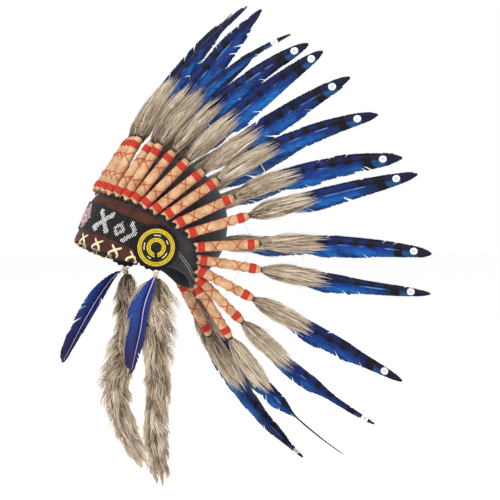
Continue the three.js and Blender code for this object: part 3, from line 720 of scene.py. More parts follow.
# %% Plume lines
WRAP_LENGTH, WRAP_RADIUS, FRINGE_LENGTH, RED_BAND, BAND_SPACING = 88, 6.5, 11, 9.4, 66
TUFT_LENGTH, TUFT_RADIUS, PLUME_LENGTH, VANE_WIDTH = 84, 10.5, 319, 27
PLUME_GAP = 0.22
# angle, height, turn, then lean, flare and bend of the left feather and of the right one
PLUMES = [
    (4.9, 0.44, 6, (11, 2.5, 14), (12, 1.5, 12)), (14.5, 0.44, 15, (9, 4, 17), (12.5, 3.5, 11)),
    (24, 0.44, 12, (5.5, 7, 23), (12, 6, 12)), (33.3, 0.44, 46, (11, 8.5, 11.5), (11, 9, 13)),
    (42.3, 0.445, 22, (9.5, 11.5, 35), (10, 12, 15)), (50.8, 0.44, 70, (15, 12, 27), (19, 12, 17)),
    (59.5, 0.43, 78, (21, 13, 14), (24, 13, 9)), (68.6, 0.425, 82, (28, 14, 13), (29, 13, 3)),
    (78.8, 0.42, 86, (32, 15, 26), (35, 16, 6)), (89, 0.397, 90, (42, 16, 25), (41, 16, 8)),
    (101, 0.365, 92, (51, 17, 5), (47, 18, 8)), (113.5, 0.293, 90, (65, 17, 13), (68, 17, 3)),
    (123, 0.213, 88, (78, 16, -3), (121, 27, -10)), (129.5, 0.14, 84, (97, 14, 2), (125, 22, -12)),
    (139, 0.085, 82, (114, 10, -15), (128, 13, -18)), (149, 0.03, 80, (126, 5, -24), (129, 2, -19)),
]
SPREAD = [0.68, 0.68, 0.72, 0.76, 0.82, 0.88, 0.95] + [1] * 9
FLUFF = [1.35, 1.35, 1.3, 1.25, 1.15] + [1.08] * 11  # how much wider than its solid a tuft's hair stands
# where a sleeve may touch the felt: the distance from its foot, and the share of its radius there
SEAT_RINGS = [(0, 0.62), (7.2, 1), (14.8, 1.04), (73.2, 0.94)]


class PlumeLine:
    """heading(s) = (sin f, cos f sin a, cos f cos a), a = lean + bend t and t from 0 at the collar to 1 at
    the tip; the line is its integral from a foot that just clears the felt."""

    def __init__(self, row, side):
        """The foot starts a radius off the felt and moves out until its underside just clears it."""
        angle, share, self.turn, left, right = row
        self.side, self.lean, self.flare, self.bend = side, *(left if side > 0 else right)
        angle, height = angle * side, share * CAP_HEIGHT
        self.normal = cap_normal(angle, height)
        straight = self.heading(np.zeros(1))[0]
        inward = unit(straight * (straight @ self.normal) - self.normal)
        under = np.array([straight * s + inward * deep * WRAP_RADIUS for s, deep in SEAT_RINGS])
        reach = WRAP_RADIUS
        for _ in range(4):
            reach += PLUME_GAP - felt_gap(under + cap_point(angle, height, reach)).min()
        self.foot = cap_point(angle, height, reach)
        self.grid = np.arange(-2.0, PLUME_LENGTH + 12)
        mid = self.heading(self.grid[:-1] + 0.5)
        self.line = np.concatenate([np.zeros((1, 3)), np.cumsum(mid, 0)])
        self.line += self.foot - self.line[2]

    def heading(self, s):
        """The direction at distances s, upright, before the cap's tilt."""
        t = np.clip((s - WRAP_LENGTH) / (PLUME_LENGTH - WRAP_LENGTH), 0, None)
        a, f = np.radians(self.lean + self.bend * t), math.radians(self.flare) * self.side
        return np.stack([np.full_like(a, math.sin(f)), math.cos(f) * np.sin(a), math.cos(f) * np.cos(a)], -1)

    def at(self, s):
        """Point, ahead, out and browward directions at distances s along the line, in the world."""
        s = np.asarray(s, float)
        point = np.stack([np.interp(s, self.grid, self.line[:, k]) for k in range(3)], -1)
        ahead = self.heading(s)
        mix = np.clip((s - WRAP_LENGTH * 0.5) / (WRAP_LENGTH * 0.5), 0, 1)[..., None]
        turn = math.radians(self.turn)
        flat = np.array([math.sin(turn) * self.side, -math.cos(turn), 0])
        out = self.normal * (1 - mix) + flat * mix
        out = unit(out - ahead * (out * ahead).sum(-1, keepdims=True))
        brow = np.cross(out, ahead) * self.side
        return on_head(point), on_head(ahead), on_head(out), on_head(brow)

    def spread(self, s, across, out):
        """Points that stand off the line by across (browward) and out."""
        point, _, o, b = self.at(s)
        return point + b * np.asarray(across)[..., None] + o * np.asarray(out)[..., None]


plumes = [(f"{name}_{i + 1:02d}", i, side, PlumeLine(row, side))
          for i, row in enumerate(PLUMES) for name, side in SIDES]
print("plumes", len(plumes), "first foot", plumes[0][3].foot.round(1))

# %% [markdown]
# ## Suede sleeves and their thread
# A sleeve is a strip of pale suede rolled round the quill: cut into teeth at the foot, creased where the
# thread pulls, gathered to a collar at the top. Two bands of red yarn bind it, and a red-brown thread runs
# up and down between them, which shows as two crosses on the front.

# %% Sleeves
SLEEVE_S = np.concatenate([[0, 2.5, 5, 7.2], np.linspace(9, 72, 12), [74, 77, 80.8, 83, 85.5, 88]])
SLEEVE_AT = [0, 7.2, 14.8, 40, 73.2, 80.8, 85, 88]
SLEEVE_SIZE = [1.0, 0.98, 0.97, 1.0, 0.93, 0.9, 0.86, 0.6]
SLEEVE_COLUMNS, YARN_COLUMNS, NECK_COLUMNS, THREAD_SIDES = 28, 24, 12, 5
TEETH, TOOTH_LENGTH = 4, 4.8
TOOTH = [0.0, 0.45, 0.9, 1.0, 0.9, 0.45, 0.1]  # the outline of one tooth round the sleeve
CREASE = 0.014  # the height of each of three waves, as a share of the radius
YARN_PROFILE, YARN_LIFT, YARN_UNDER = 11, 0.75, -0.35  # points across a band, its height, its hidden inside
THREAD_HALF, THREAD_TURNS = 0.62, 2
NECK_RADIUS, NECK_WIND = 3.6, 1.8


def sleeve_radius(s):
    """The sleeve's radius at distances from its foot: pinched by the yarn and gathered at the collar."""
    return WRAP_RADIUS * through(SLEEVE_AT, SLEEVE_SIZE, s)


def sleeve(line, seed):
    """Radius r(s) with three slow waves round it for creases. The foot is open: a ring inside it, then a rim
    cut into four teeth up to 5 mm long, and its section is flattened against the cap."""
    cols = SLEEVE_COLUMNS
    rng = np.random.default_rng(seed)
    t = np.arange(cols) * 2 * math.pi / cols
    s = np.broadcast_to(np.concatenate([[7.0], SLEEVE_S])[:, None], (len(SLEEVE_S) + 1, cols)).copy()
    tooth = np.take(TOOTH, np.arange(cols) % len(TOOTH))
    teeth = TOOTH_LENGTH * (1 - tooth * rng.uniform(0.45, 1.0, TEETH).repeat(len(TOOTH)))
    s[1] = teeth
    s[2] = np.maximum(s[2], teeth + 1.2)
    s[3] = np.maximum(s[3], teeth + 2.0)
    wave = sum(CREASE * np.sin(k * t[None, :] + rng.uniform(0, 6.28) + s / rng.uniform(9, 20))
               for k in (2, 3, 5))
    r = sleeve_radius(s) * (1 + wave)
    r[0] *= 0.72
    r[1] *= 1.0 + 0.08 * tooth
    flat = np.where(s < 7, 0.7 + 0.3 * s / 7, 1.0)
    return line.spread(s, r * np.cos(t) * line.side, r * flat * np.sin(t)), s.shape


def yarn_band(line, centre):
    """A ring of wound yarn: its section is a low arch over the sleeve with a groove for every turn."""
    profile = np.linspace(-1, 1, YARN_PROFILE)
    s = centre + profile * RED_BAND / 2
    lift = YARN_LIFT * (1 - profile ** 6) * (1 + 0.16 * np.cos(profile * 5 * math.pi)) + 0.05
    s = np.concatenate([s, s[[-1, 0]]])
    lift = np.concatenate([lift, [YARN_UNDER, YARN_UNDER]])
    t = np.arange(YARN_COLUMNS) * 2 * math.pi / YARN_COLUMNS
    r = (sleeve_radius(s) + lift)[:, None]
    s = np.broadcast_to(s[:, None], (len(s), YARN_COLUMNS))
    return np.swapaxes(line.spread(s, r * np.cos(t) * line.side, r * np.sin(t)), 0, 1)


def crossing_thread(line, direction):
    """A helix on the sleeve, two turns between the red bands: angle = 90 degrees +- 720 degrees (u - 0.25).
    The thread on top rises by 0.3 mm where the two cross."""
    u = np.linspace(0, 1, 49)
    s = FRINGE_LENGTH + RED_BAND / 2 - 1 + u * (BAND_SPACING - RED_BAND + 2)
    t = math.pi / 2 + direction * (u - 0.25) * THREAD_TURNS * 2 * math.pi
    r = sleeve_radius(s) + 0.35 + 0.3 * (direction > 0) * np.exp(-((u % 0.5 - 0.25) / 0.03) ** 2)
    path = line.spread(s, r * np.cos(t) * line.side, r * np.sin(t))
    centre, _, _, _ = line.at(s)
    return sweep(path, unit(path - centre), THREAD_HALF, THREAD_HALF * 0.75, THREAD_SIDES)


def neck_thread(line):
    """Dark thread wound round the quill between the collar and the fur: five close turns."""
    s = np.linspace(WRAP_LENGTH - 2, WRAP_LENGTH + 7, 27)
    t = np.arange(NECK_COLUMNS) * 2 * math.pi / NECK_COLUMNS
    past = s - WRAP_LENGTH
    r = NECK_RADIUS + 0.35 * np.abs(np.sin(past * math.pi / NECK_WIND)) - 0.1 * past.clip(0)
    r = r[:, None]
    s = np.broadcast_to(s[:, None], (len(s), NECK_COLUMNS))
    return line.spread(s, r * np.cos(t) * line.side, r * np.sin(t))


def yarn_finish(name, dark, light, scale=1100.0):
    """Twisted fibre: fine noise between two tones, raised where it is light."""
    f = Finish(name, Roughness=0.85, Sheen_Weight=0.1, Sheen_Roughness=0.4, Specular_IOR_Level=0.2)
    where = f.place()
    fuzz = f.noise(where, scale, 3, 0.7)
    f.bump(fuzz, 0.5, 0.0003)
    return f.colour(f.mix(f.step(fuzz, 0.3, 0.7), dark, light))


cream_suede = suede_finish("cream suede", rgb(160, 118, 84), rgb(222, 180, 138), 90.0)
red_yarn = yarn_finish("red yarn", rgb(150, 34, 26), rgb(202, 66, 48))
rust_thread = yarn_finish("rust thread", rgb(160, 58, 34), rgb(198, 84, 52))
dark_thread = yarn_finish("dark thread", rgb(38, 34, 26), rgb(70, 64, 48))
MID_LOW, MID_HIGH = FRINGE_LENGTH, FRINGE_LENGTH + BAND_SPACING
for label, row, side, line in plumes:
    points, shape = sleeve(line, 100 + row * 2 + (side > 0))
    add_piece(f"sleeve_{label}", points, tube_faces(1, *shape), cream_suede, "suede", [f"plume_{label}"])
    bands = joined([(b, loop_faces(*b.shape[:2])) for b in (yarn_band(line, m) for m in (MID_LOW, MID_HIGH))])
    add_piece(f"yarn_{label}", *bands, red_yarn, "lace")
    threads = joined([(p, tube_faces(1, *p.shape[:2])) for p in (crossing_thread(line, d) for d in (1, -1))])
    add_piece(f"thread_{label}", *threads, rust_thread, "lace")
    neck = neck_thread(line)
    add_piece(f"neck_{label}", neck, tube_faces(1, *neck.shape[:2]), dark_thread, "lace")
print("sleeves done")

# %% [markdown]
# ## Fur
# Fur is thousands of hairs, each a thin tapering blade with a closed three-sided section. In the frame of
# the feather's line a hair is a curve of distance, radius and angle, so the tuft keeps its almond shape
# however the feather leans. Hairs gather in locks, darker at the root and pale at the tip. A soft core
# under them closes the gaps.

# %% Fur
HAIR_U, HAIR_TAPER = np.array([0, 0.38, 0.75, 1.0]), np.array([1.0, 0.95, 0.6, 0.1])
STRAIGHT_U, STRAIGHT_TAPER = np.array([0, 0.55, 1.0]), np.array([1.0, 0.85, 0.1])


def fur_finish():
    """A hair's tone runs from 0 at a dark root to 1 at a pale tip; clouds shift whole patches."""
    f = Finish("fur", Roughness=0.7, Sheen_Weight=0.15, Sheen_Roughness=0.35, Specular_IOR_Level=0.25)
    tone = f.field("tone")
    where = f.place()
    cloud = f.noise(where, 70, 3)
    tone = f.math("ADD", tone, f.both(f.math("SUBTRACT", cloud, 0.5), 0.5), clamp=True)
    low = f.mix(f.step(tone, 0.0, 0.42), rgb(104, 86, 70), rgb(200, 178, 150))
    return f.colour(f.mix(f.step(tone, 0.42, 1.0), low, rgb(252, 240, 218)))


def hairs(path, width, out, taper):
    """Blades along paths (n, sections, 3), three sides each."""
    rings = sweep(path, out, width[:, None] * taper, width[:, None] * taper * 0.6, 3,
                  turn=chance.uniform(0, 6.28, len(path))[:, None])
    return rings, tube_faces(len(path), len(taper), 3)


TUFT_SHARE = [-0.02, 0.05, 0.16, 0.34, 0.6, 0.8, 1.0, 1.25]
TUFT_SIZE = [0.36, 0.6, 0.9, 1.06, 1.04, 0.96, 0.84, 0.62]
HAIRS_PER_TUFT, LOCKS = 750, 9
STRAY_SHARE, FUR_START = 0.12, 3  # the share of hairs that stray; where a tuft's own distances start


def tuft(line, size, seed):
    """Hair k starts at distance s0 and ends length later; radius = envelope(s) rho, rho growing to its tip,
    and angle drawn towards its lock. One hair in eight or so strays well out of the tuft."""
    rng = np.random.default_rng(seed)
    n = HAIRS_PER_TUFT
    start = rng.uniform(-0.02, 0.62, n) * TUFT_LENGTH
    length = rng.uniform(24, 50, n) * (1 - 0.15 * (start / TUFT_LENGTH))
    around = rng.uniform(0, 2 * math.pi, n)
    turn_of = rng.uniform(0, 6.28, 2 * LOCKS)
    which = (around / (2 * math.pi) * LOCKS).astype(int) + LOCKS * (start > 0.3 * TUFT_LENGTH)
    lock = (which % LOCKS + 0.5) / LOCKS * 2 * math.pi + 0.3 * np.sin(start / 14 + turn_of[which])
    rho = rng.uniform(0.66, 1.0, n)
    stray = rng.random(n) < STRAY_SHARE
    u = STRAIGHT_U[None, :]
    s = start[:, None] + length[:, None] * u
    lift = np.where(stray, rng.uniform(0.2, 0.6, n), rng.uniform(-0.1, 0.14, n))[:, None]
    r = size * through(TUFT_SHARE, TUFT_SIZE, s / TUFT_LENGTH) * (rho[:, None] + lift * u ** 1.6)
    drift = rng.normal(0, 0.16, n)[:, None]
    t = around[:, None] + (lock - around)[:, None] * 0.6 * u + drift * u
    foot = WRAP_LENGTH + FUR_START
    path = line.spread(foot + s, r * np.cos(t) * line.side, r * np.sin(t))
    _, _, o, b = line.at(foot + s)
    out = b * np.cos(t)[..., None] * line.side + o * np.sin(t)[..., None]
    points, faces = hairs(path, rng.uniform(0.32, 0.66, n), out, STRAIGHT_TAPER)
    tone = (0.24 + 0.42 * u + 0.23 * rng.normal(0, 1, n)[:, None] + 0.15 * np.sin(turn_of[which] * 3)[:, None]
            + 0.24 * (start / TUFT_LENGTH)[:, None])
    s_core = np.linspace(0, 0.86, 16) * TUFT_LENGTH
    t_core = np.arange(12) * 2 * math.pi / 12
    r_core = (size * through(TUFT_SHARE, TUFT_SIZE, s_core / TUFT_LENGTH) * 0.7
              * np.sqrt(1 - (s_core / s_core[-1]) ** 4 * 0.98))[:, None] * (
        1 + 0.1 * np.sin(3 * t_core + s_core[:, None] / 7))
    core = line.spread(np.broadcast_to((foot + s_core)[:, None], r_core.shape),
                       r_core * np.cos(t_core) * line.side, r_core * np.sin(t_core))
    core_tone = np.broadcast_to(0.22 + 0.3 * (s_core / TUFT_LENGTH)[:, None], r_core.shape)
    all_points, all_faces = joined([(core, tube_faces(1, *core.shape[:2])), (points, faces)])
    return all_points, all_faces, np.concatenate([core_tone.ravel(), np.repeat(tone, 3, 1).ravel()])


fur = fur_finish()
for label, row, side, line in plumes:
    points, faces, tone = tuft(line, TUFT_RADIUS * FLUFF[row] * SPREAD[row], 300 + row * 2 + (side > 0))
    add_piece(f"fur_{label}", points, faces, fur, "fur", [f"plume_{label}"], {"tone": tone})
print("tufts", len(points), "points each")

# %% [markdown]
# ## Feathers
# A vane is not a sheet: it is a comb of barbs that lean towards the tip and hook together, and where the
# hooks let go it splits. Each barb here is a closed blade from the shaft to the vane's outline. Every point
# carries its distance across and from the tip, and the dye reads those two numbers: dark on the narrow side
# that faces the brow, bright blue on the broad side, black bars, and a white spot behind a black crescent.

# %% Feathers
BARB_U = np.array([0.0, 0.35, 0.7, 1.0])
VANE_SHARE = [0.30, 0.37, 0.45, 0.55, 0.68, 0.8, 0.9, 0.96, 0.985, 1.0]
VANE_LEAD = [0.02, 0.12, 0.32, 0.42, 0.4, 0.36, 0.29, 0.2, 0.11, 0.02]
VANE_TRAIL = [0.02, 0.16, 0.46, 0.72, 0.66, 0.52, 0.37, 0.24, 0.12, 0.02]
NO_DOT = -400
PLAIN_TIPS = ("left_16", "right_06", "right_07", "right_09", "right_11")  # no spot on these
BAR_PITCH = 21
BARB_SPACING, BARB_THICKNESS, BARB_SIDES = 1.9, 0.28, 3
BARB_WIDTHS = np.array([0.75, 1.0, 0.98, 0.78])
VANE_START = 0.31
QUILL_RINGS = 26


def vane_finish():
    """place holds the distance across, the distance from the tip, and where the spot lies; luck is one
    number for each feather, so that no two have their bars and clouds in the same places."""
    f = Finish("feather", Roughness=0.45, Sheen_Weight=0.04, Sheen_Roughness=0.3, Specular_IOR_Level=0.22)
    across, from_tip, dot = f.split(f.field("place", "Vector"))
    luck = f.field("luck")
    reach = f.math("ABSOLUTE", across)
    barb = f.math("ADD", from_tip, f.both(reach, 1.3))
    streak = f.noise(f.vector(f.both(barb, 0.9), f.both(across, 0.12), f.both(luck, 50)), 1.0, 2)
    cloud = f.noise(f.vector(f.both(from_tip, 0.03), f.both(across, 0.08), f.both(luck, 9)), 1.0, 2)
    bright = f.mix(f.step(reach, 1, 11), rgb(8, 52, 132), rgb(16, 104, 184))
    bright = f.mix(f.step(cloud, 0.3, 0.62), rgb(10, 42, 114), bright)
    navy = f.mix(f.step(cloud, 0.3, 0.7), rgb(8, 16, 50), rgb(16, 40, 108))
    colour = f.mix(f.step(across, 1.0, -1.6), navy, bright)
    darker = f.math("SUBTRACT", from_tip, f.both(luck, 45))
    colour = f.mix(f.step(darker, 75, 5), colour, rgb(13, 20, 62))
    # black bars beside the shaft on the dark side, longer and broader towards the tip
    ragged = f.noise(f.vector(f.both(from_tip, 0.16), f.both(across, 0.35), f.both(luck, 30)), 1.0, 3)
    bars = f.math("DIVIDE", f.math("ADD", from_tip, f.both(luck, 60)), BAR_PITCH)
    share = f.math("FRACT", f.math("ADD", bars, f.both(ragged, 0.55)))
    grow = f.step(from_tip, 150, 60)
    bar = f.both(f.step(f.math("SUBTRACT", share, f.both(grow, 0.22)), 0.3, 0.24), f.step(across, -3.2, -2.0))
    bar = f.both(f.both(bar, f.step(f.math("SUBTRACT", across, f.both(grow, 5.0)), 5.4, 3.6)),
                 f.both(f.step(from_tip, 52, 58), f.step(from_tip, 175, 135)))
    chosen = f.noise(f.vector(f.both(from_tip, 0.035), f.both(luck, 77), 0.0), 1.0, 1)
    colour = f.mix(f.both(bar, f.step(chosen, 0.42, 0.5)), colour, rgb(5, 6, 14))
    # the spot, and the crescent a little way below it
    has_spot = f.step(dot, -50, 0)
    along = f.math("SUBTRACT", from_tip, dot)
    ring = f.math("SQRT", f.math("ADD", f.both(f.both(across, across), 1.25), f.both(along, along)))
    crescent = f.both(f.both(f.step(ring, 15.5, 17), f.step(ring, 29, 25.5)), f.step(along, 2, 7))
    colour = f.mix(crescent, colour, rgb(4, 4, 7))
    colour = f.mix(f.both(f.step(ring, 16.5, 14), has_spot), colour,
                   f.mix(f.step(across, 2, -4), rgb(12, 20, 56), rgb(28, 78, 126)))
    past_spot = f.step(f.math("SUBTRACT", dot, from_tip), 1, 8)
    colour = f.mix(f.both(past_spot, has_spot), colour, rgb(12, 17, 48))
    colour = f.mix(f.both(f.step(streak, 0.35, 0.75), 0.6), colour, rgb(5, 8, 28))
    # painted highlight: pale blue streaks of shine beside the shaft on the bright side, broken up by the
    # clouds and left out near the tip
    painted_highlight = f.both(f.both(f.step(across, -2.6, -1.6), f.step(across, -0.5, -1.0)), f.step(cloud, 0.5, 0.62))
    colour = f.mix(f.both(painted_highlight, f.step(from_tip, 40, 60)), colour, rgb(96, 142, 208))
    dotted = f.step(ring, 5.4, 4.7)
    colour = f.mix(dotted, colour, f.mix(f.step(ring, 3.2, 2.0), rgb(240, 240, 238), rgb(198, 202, 206)))
    return f.colour(colour)


def comb(line, length, start, half_width, side_sign, spacing, rng, wild=1.0):
    """Barbs on one side of a shaft. x grows to the outline and s = root + slant x; groups of barbs share a
    small swing, which opens the splits. Returns rings and each point's (across, distance)."""
    root = np.arange(start, length - 2.5, spacing)
    n = len(root)
    group = np.cumsum(rng.random(n) < 0.11)
    swing = rng.normal(0, 0.05 * wild, group[-1] + 1)[group] + rng.normal(0, 0.012, n)
    trim = 1 - np.abs(rng.normal(0, 0.05 * wild, group[-1] + 1))[group] - np.abs(rng.normal(0, 0.02, n))
    trim = np.where(rng.random(n) < 0.018 * wild, trim * 0.62, trim)
    slant = 1.35 + 0.5 * np.clip((root - start) / (length - start), 0, 1) ** 3
    width = half_width(root)
    for _ in range(6):
        width = 0.5 * width + 0.5 * half_width(np.minimum(root + slant * width, length))
    u = BARB_U[None, :]
    x = width[:, None] * trim[:, None] * u
    s = root[:, None] + slant[:, None] * x * (0.9 + 0.1 * u) + swing[:, None] * x * 2.2 * u
    s = np.minimum(s, length + 1.5)
    curl = rng.normal(0, 0.25, group[-1] + 1)[group][:, None]
    lift = curl * u + 0.10 * (width[:, None] * u) ** 1.3 * 0.35
    path = line.spread(s, x * side_sign, -lift)
    _, _, out, _ = line.at(s)
    wide = 0.62 * spacing * BARB_WIDTHS[None, :] * np.ones((n, 1))
    rings = sweep(path, out, wide, BARB_THICKNESS, BARB_SIDES, turn=math.pi / 2 + 0.16)
    cross = np.repeat((x * side_sign)[..., None], BARB_SIDES, -1)
    dist = np.repeat(s[..., None], BARB_SIDES, -1)
    return rings, tube_faces(n, len(BARB_U), BARB_SIDES), cross.ravel(), dist.ravel()


def shaft(line, start, end, base, tip, cols=6):
    """A tapering quill, oval in section."""
    s = np.linspace(start, end, QUILL_RINGS)
    r = np.linspace(base, tip, QUILL_RINGS)
    point, _, out, _ = line.at(s)
    rings = sweep(point, out, r, r * 0.8, cols)
    return rings, s


def feather(line, scale, dot, seed, worn, wild):
    """Two combs and a shaft, with the fields that the dye reads. worn is (from, share lost): past that share
    of the length the vane has lost that share of its width."""

    def half_of(table):
        """The half width as a function of distance: the table's outline, less what is worn away."""
        return lambda s: through(VANE_SHARE, table, s / PLUME_LENGTH) * scale * (
            1 - worn[1] * smooth_step(worn[0], worn[0] + 0.12, s / PLUME_LENGTH))

    rng = np.random.default_rng(seed)
    parts, place = [], []
    whole = rng.random()
    for side_sign, table in ((1, VANE_LEAD), (-1, VANE_TRAIL)):
        rings, faces, cross, dist = comb(line, PLUME_LENGTH, VANE_START * PLUME_LENGTH, half_of(table),
                                         side_sign, BARB_SPACING, rng, wild)
        parts.append((rings, faces))
        place.append(np.stack([cross, PLUME_LENGTH - dist, np.full(len(cross), dot)], -1))
    rings, s = shaft(line, WRAP_LENGTH, PLUME_LENGTH - 3, 1.15, 0.3)
    parts.append((rings, tube_faces(1, *rings.shape[:2])))
    dist = np.repeat(s, rings.shape[1])
    place.append(np.stack([np.full(len(dist), 0.6), PLUME_LENGTH - dist, np.full(len(dist), dot)], -1))
    points, faces = joined(parts)
    return points, faces, {"place": np.concatenate(place), "luck": np.full(len(points), whole)}


vane = vane_finish()
DOTS = [NO_DOT, NO_DOT, NO_DOT, NO_DOT, 26, 22, 20, 28, 29, 27, 30, 25, 28, 29, 18, 16]
BREADTH = [0.8, 0.8, 0.9, 1.4, 0.72, 1, 1.05, 1.05, 0.95, 1.12, 0.95, 1, 0.9, 0.95, 0.76, 0.72]
# how split and frayed each vane is, and how many degrees the first ones twist to the side
WILD = [1.4, 1.4, 1.8, 1.9, 1.6, 1.1, 1.2, 1.1, 0.9, 1.1, 0.9, 0.9, 1.0, 1.1, 1.2, 1.4]
EXTRA_TURN = [8, 8, 16, 22, 8] + [0] * 11
WORN = {"left_03": (0.6, 0.35), "left_04": (0.84, 0.35), "left_05": (0.75, 0.25), "left_13": (0.6, 0.22),
        "left_14": (0.7, 0.2), "left_15": (0.66, 0.45), "left_16": (0.62, 0.9), "right_16": (0.8, 0.3)}
for label, row, side, line in plumes:
    line.turn += EXTRA_TURN[row]
    points, faces, fields = feather(line, VANE_WIDTH * min(1, SPREAD[row] + 0.1) * BREADTH[row],
                                    NO_DOT if label in PLAIN_TIPS else DOTS[row],
                                    500 + row * 2 + (side > 0), WORN.get(label, (1, 0)), WILD[row])
    add_piece(f"feather_{label}", points, faces, vane, "plume", [f"plume_{label}"], fields)
print("feathers", len(points), "points each")

# %% [markdown]
# ## What hangs below the rosettes
# A lace bunch under each rosette carries a dyed feather, a thong and a long strip of fur. They hang free,
# so their lines are a table of how far each has wandered to the nape at each share of its drop.

# %% Hanging lines
TIE = np.array([85.5, 4.5, -11.7])
FEATHER_FOOT, THONG_FOOT, FUR_FOOT = TIE + (7.6, -1.5, 1.5), TIE + (4, 3, -4.7), TIE + (-5, 1.5, -4.9)
DROP_FEATHER_LENGTH, DROP_FEATHER_WIDTH = 131, 29
DROP_FUR_LENGTH, DROP_FUR_WIDTH, DROP_FUR_THICKNESS = 272, 38, 15
HANGS = {
    "feather_left": ([0, 0.3, 0.56, 0.82, 1], [0, -15, -21, -29, -34]),
    "feather_right": ([0, 0.08, 0.2, 0.38, 0.6, 0.8, 1], [0, -14, -27, -43, -60, -74, -88]),
    "fur_left": ([0, 0.3, 0.52, 0.74, 1], [0, -2, 3, -1, 8]),
    "fur_right": ([0, 0.28, 0.5, 0.62, 0.78, 1], [0, -4, -11, -15, -5, 24]),
}


class HangingLine:
    """Point = foot + (0, wander(s / length), -s); out faces away from the head and front is -Y."""

    def __init__(self, key, foot, length, side):
        """The foot is given for the left side and mirrored for the right one."""
        self.table, self.length, self.side = HANGS[key], length, side
        self.foot = foot * np.array([side, 1, 1])

    def wander(self, s):
        """How far the line has moved to the nape at distances s."""
        return through(*self.table, s / self.length)

    def at(self, s):
        """Point, ahead, out and front directions at distances s, as a plume's line gives them."""
        s = np.asarray(s, float)
        point = self.foot + np.stack([np.zeros_like(s), self.wander(s), -s], -1)
        slope = self.wander(s + 1) - self.wander(s - 1)
        ahead = unit(np.stack([np.zeros_like(s), slope, np.full_like(s, -2)], -1))
        out = np.broadcast_to(np.array([self.side, 0.0, 0.0]), point.shape)
        front = np.cross(out, ahead) * -self.side
        return point, ahead, out, front

    spread = PlumeLine.spread


print("hanging lines", len(HANGS))

# %% [markdown]
# A drop feather is made with the same comb and quill as the others. Its broad side faces the front, its lilac
# shaft shows against the blue, and its dye turns from blue to indigo towards the tip.

# %% Drop feathers
DROP_SHARE = [0.0, 0.05, 0.12, 0.3, 0.5, 0.7, 0.86, 0.96, 1.0]
DROP_LEAD = [0.02, 0.16, 0.35, 0.66, 0.7, 0.65, 0.52, 0.31, 0.02]
DROP_TRAIL = [0.02, 0.09, 0.18, 0.31, 0.32, 0.28, 0.2, 0.12, 0.02]
DROP_TURNED = {"left": 1.0, "right": 0.78}  # the far one hangs half edge on, so it looks narrower
DROP_BARB_SPACING, DROP_WILD = 1.5, 1.9


def drop_finish():
    """The same place field as a vane's: brighter away from the shaft, darker at the tip, a pale shaft."""
    f = Finish("drop feather", Roughness=0.45, Sheen_Weight=0.05, Sheen_Roughness=0.3,
               Specular_IOR_Level=0.25)
    across, from_tip, _ = f.split(f.field("place", "Vector"))
    reach = f.math("ABSOLUTE", across)
    barb = f.math("ADD", from_tip, f.both(reach, 1.3))
    streak = f.noise(f.vector(f.both(barb, 0.7), f.both(across, 0.1), 3.0), 1.0, 2)
    colour = f.mix(f.step(reach, 0, 12), rgb(24, 34, 106), rgb(30, 70, 152))
    colour = f.mix(f.step(from_tip, 95, 5), colour, rgb(36, 30, 78))
    colour = f.mix(f.both(f.step(streak, 0.35, 0.75), 0.6), colour, rgb(14, 16, 60))
    return f.colour(f.mix(f.step(reach, 0.7, 0.4), colour, rgb(186, 178, 214)))


def drop_feather(line, wide, rng):
    """Two combs and a shaft along a hanging line; the shaft's place is 0 across and the vane's starts at
    0.8, so that the dye can tell them apart."""

    def half_of(table):
        """The half width as a function of distance."""
        return lambda s: through(DROP_SHARE, table, s / DROP_FEATHER_LENGTH) * wide

    parts, place = [], []
    for sign, table in ((1, DROP_LEAD), (-1, DROP_TRAIL)):
        rings, faces, cross, dist = comb(line, DROP_FEATHER_LENGTH, 3, half_of(table), sign,
                                         DROP_BARB_SPACING, rng, DROP_WILD)
        parts.append((rings, faces))
        place.append(np.stack([cross + sign * 0.8, DROP_FEATHER_LENGTH - dist, dist * 0], -1))
    rings, s = shaft(line, 0, DROP_FEATHER_LENGTH - 4, 0.85, 0.3)
    parts.append((rings, tube_faces(1, *rings.shape[:2])))
    dist = np.repeat(s, rings.shape[1])
    place.append(np.stack([dist * 0, DROP_FEATHER_LENGTH - dist, dist * 0], -1))
    points, faces = joined(parts)
    return points, faces, {"place": np.concatenate(place)}


drop_dye = drop_finish()
for name, side in SIDES:
    line = HangingLine(f"feather_{name}", FEATHER_FOOT, DROP_FEATHER_LENGTH, side)
    wide = DROP_FEATHER_WIDTH * DROP_TURNED[name]
    points, faces, fields = drop_feather(line, wide, np.random.default_rng(700 + side))
    add_piece(f"hanging_feather_{name}", points, faces, drop_dye, "feather", [f"drop_feather_{name}"], fields)
print("drop feathers", len(points), "points each")

# %% [markdown]
# A drop fur is a strip of pelt about a hand and a half long. Its hairs leave a flat core in locks
# and stand out to both sides, and where an edge is ragged the hairs are longer and stand out more.

# %% Drop furs
DROP_FUR_SHARE = [0, 0.03, 0.09, 0.25, 0.45, 0.7, 0.85, 0.94, 1.0]
DROP_FUR_SIZE = {
    "left": [0.5, 0.95, 1.18, 1.08, 0.92, 0.88, 0.76, 0.5, 0.15],
    "right": [0.4, 0.62, 0.76, 0.7, 0.9, 0.92, 0.8, 0.55, 0.15],
}
# where an edge is ragged: the back edge (-1) or the front edge (1), from and to
WISPS = {"left": ((-1, 0.04, 0.36), (1, 0.0, 0.17)), "right": ((1, 0.3, 0.62),)}
HAIRS_PER_DROP = 4200
LOCK_ROW, LOCKS_ROUND = 11, 8  # millimetres of strip to a row of locks, and locks round it


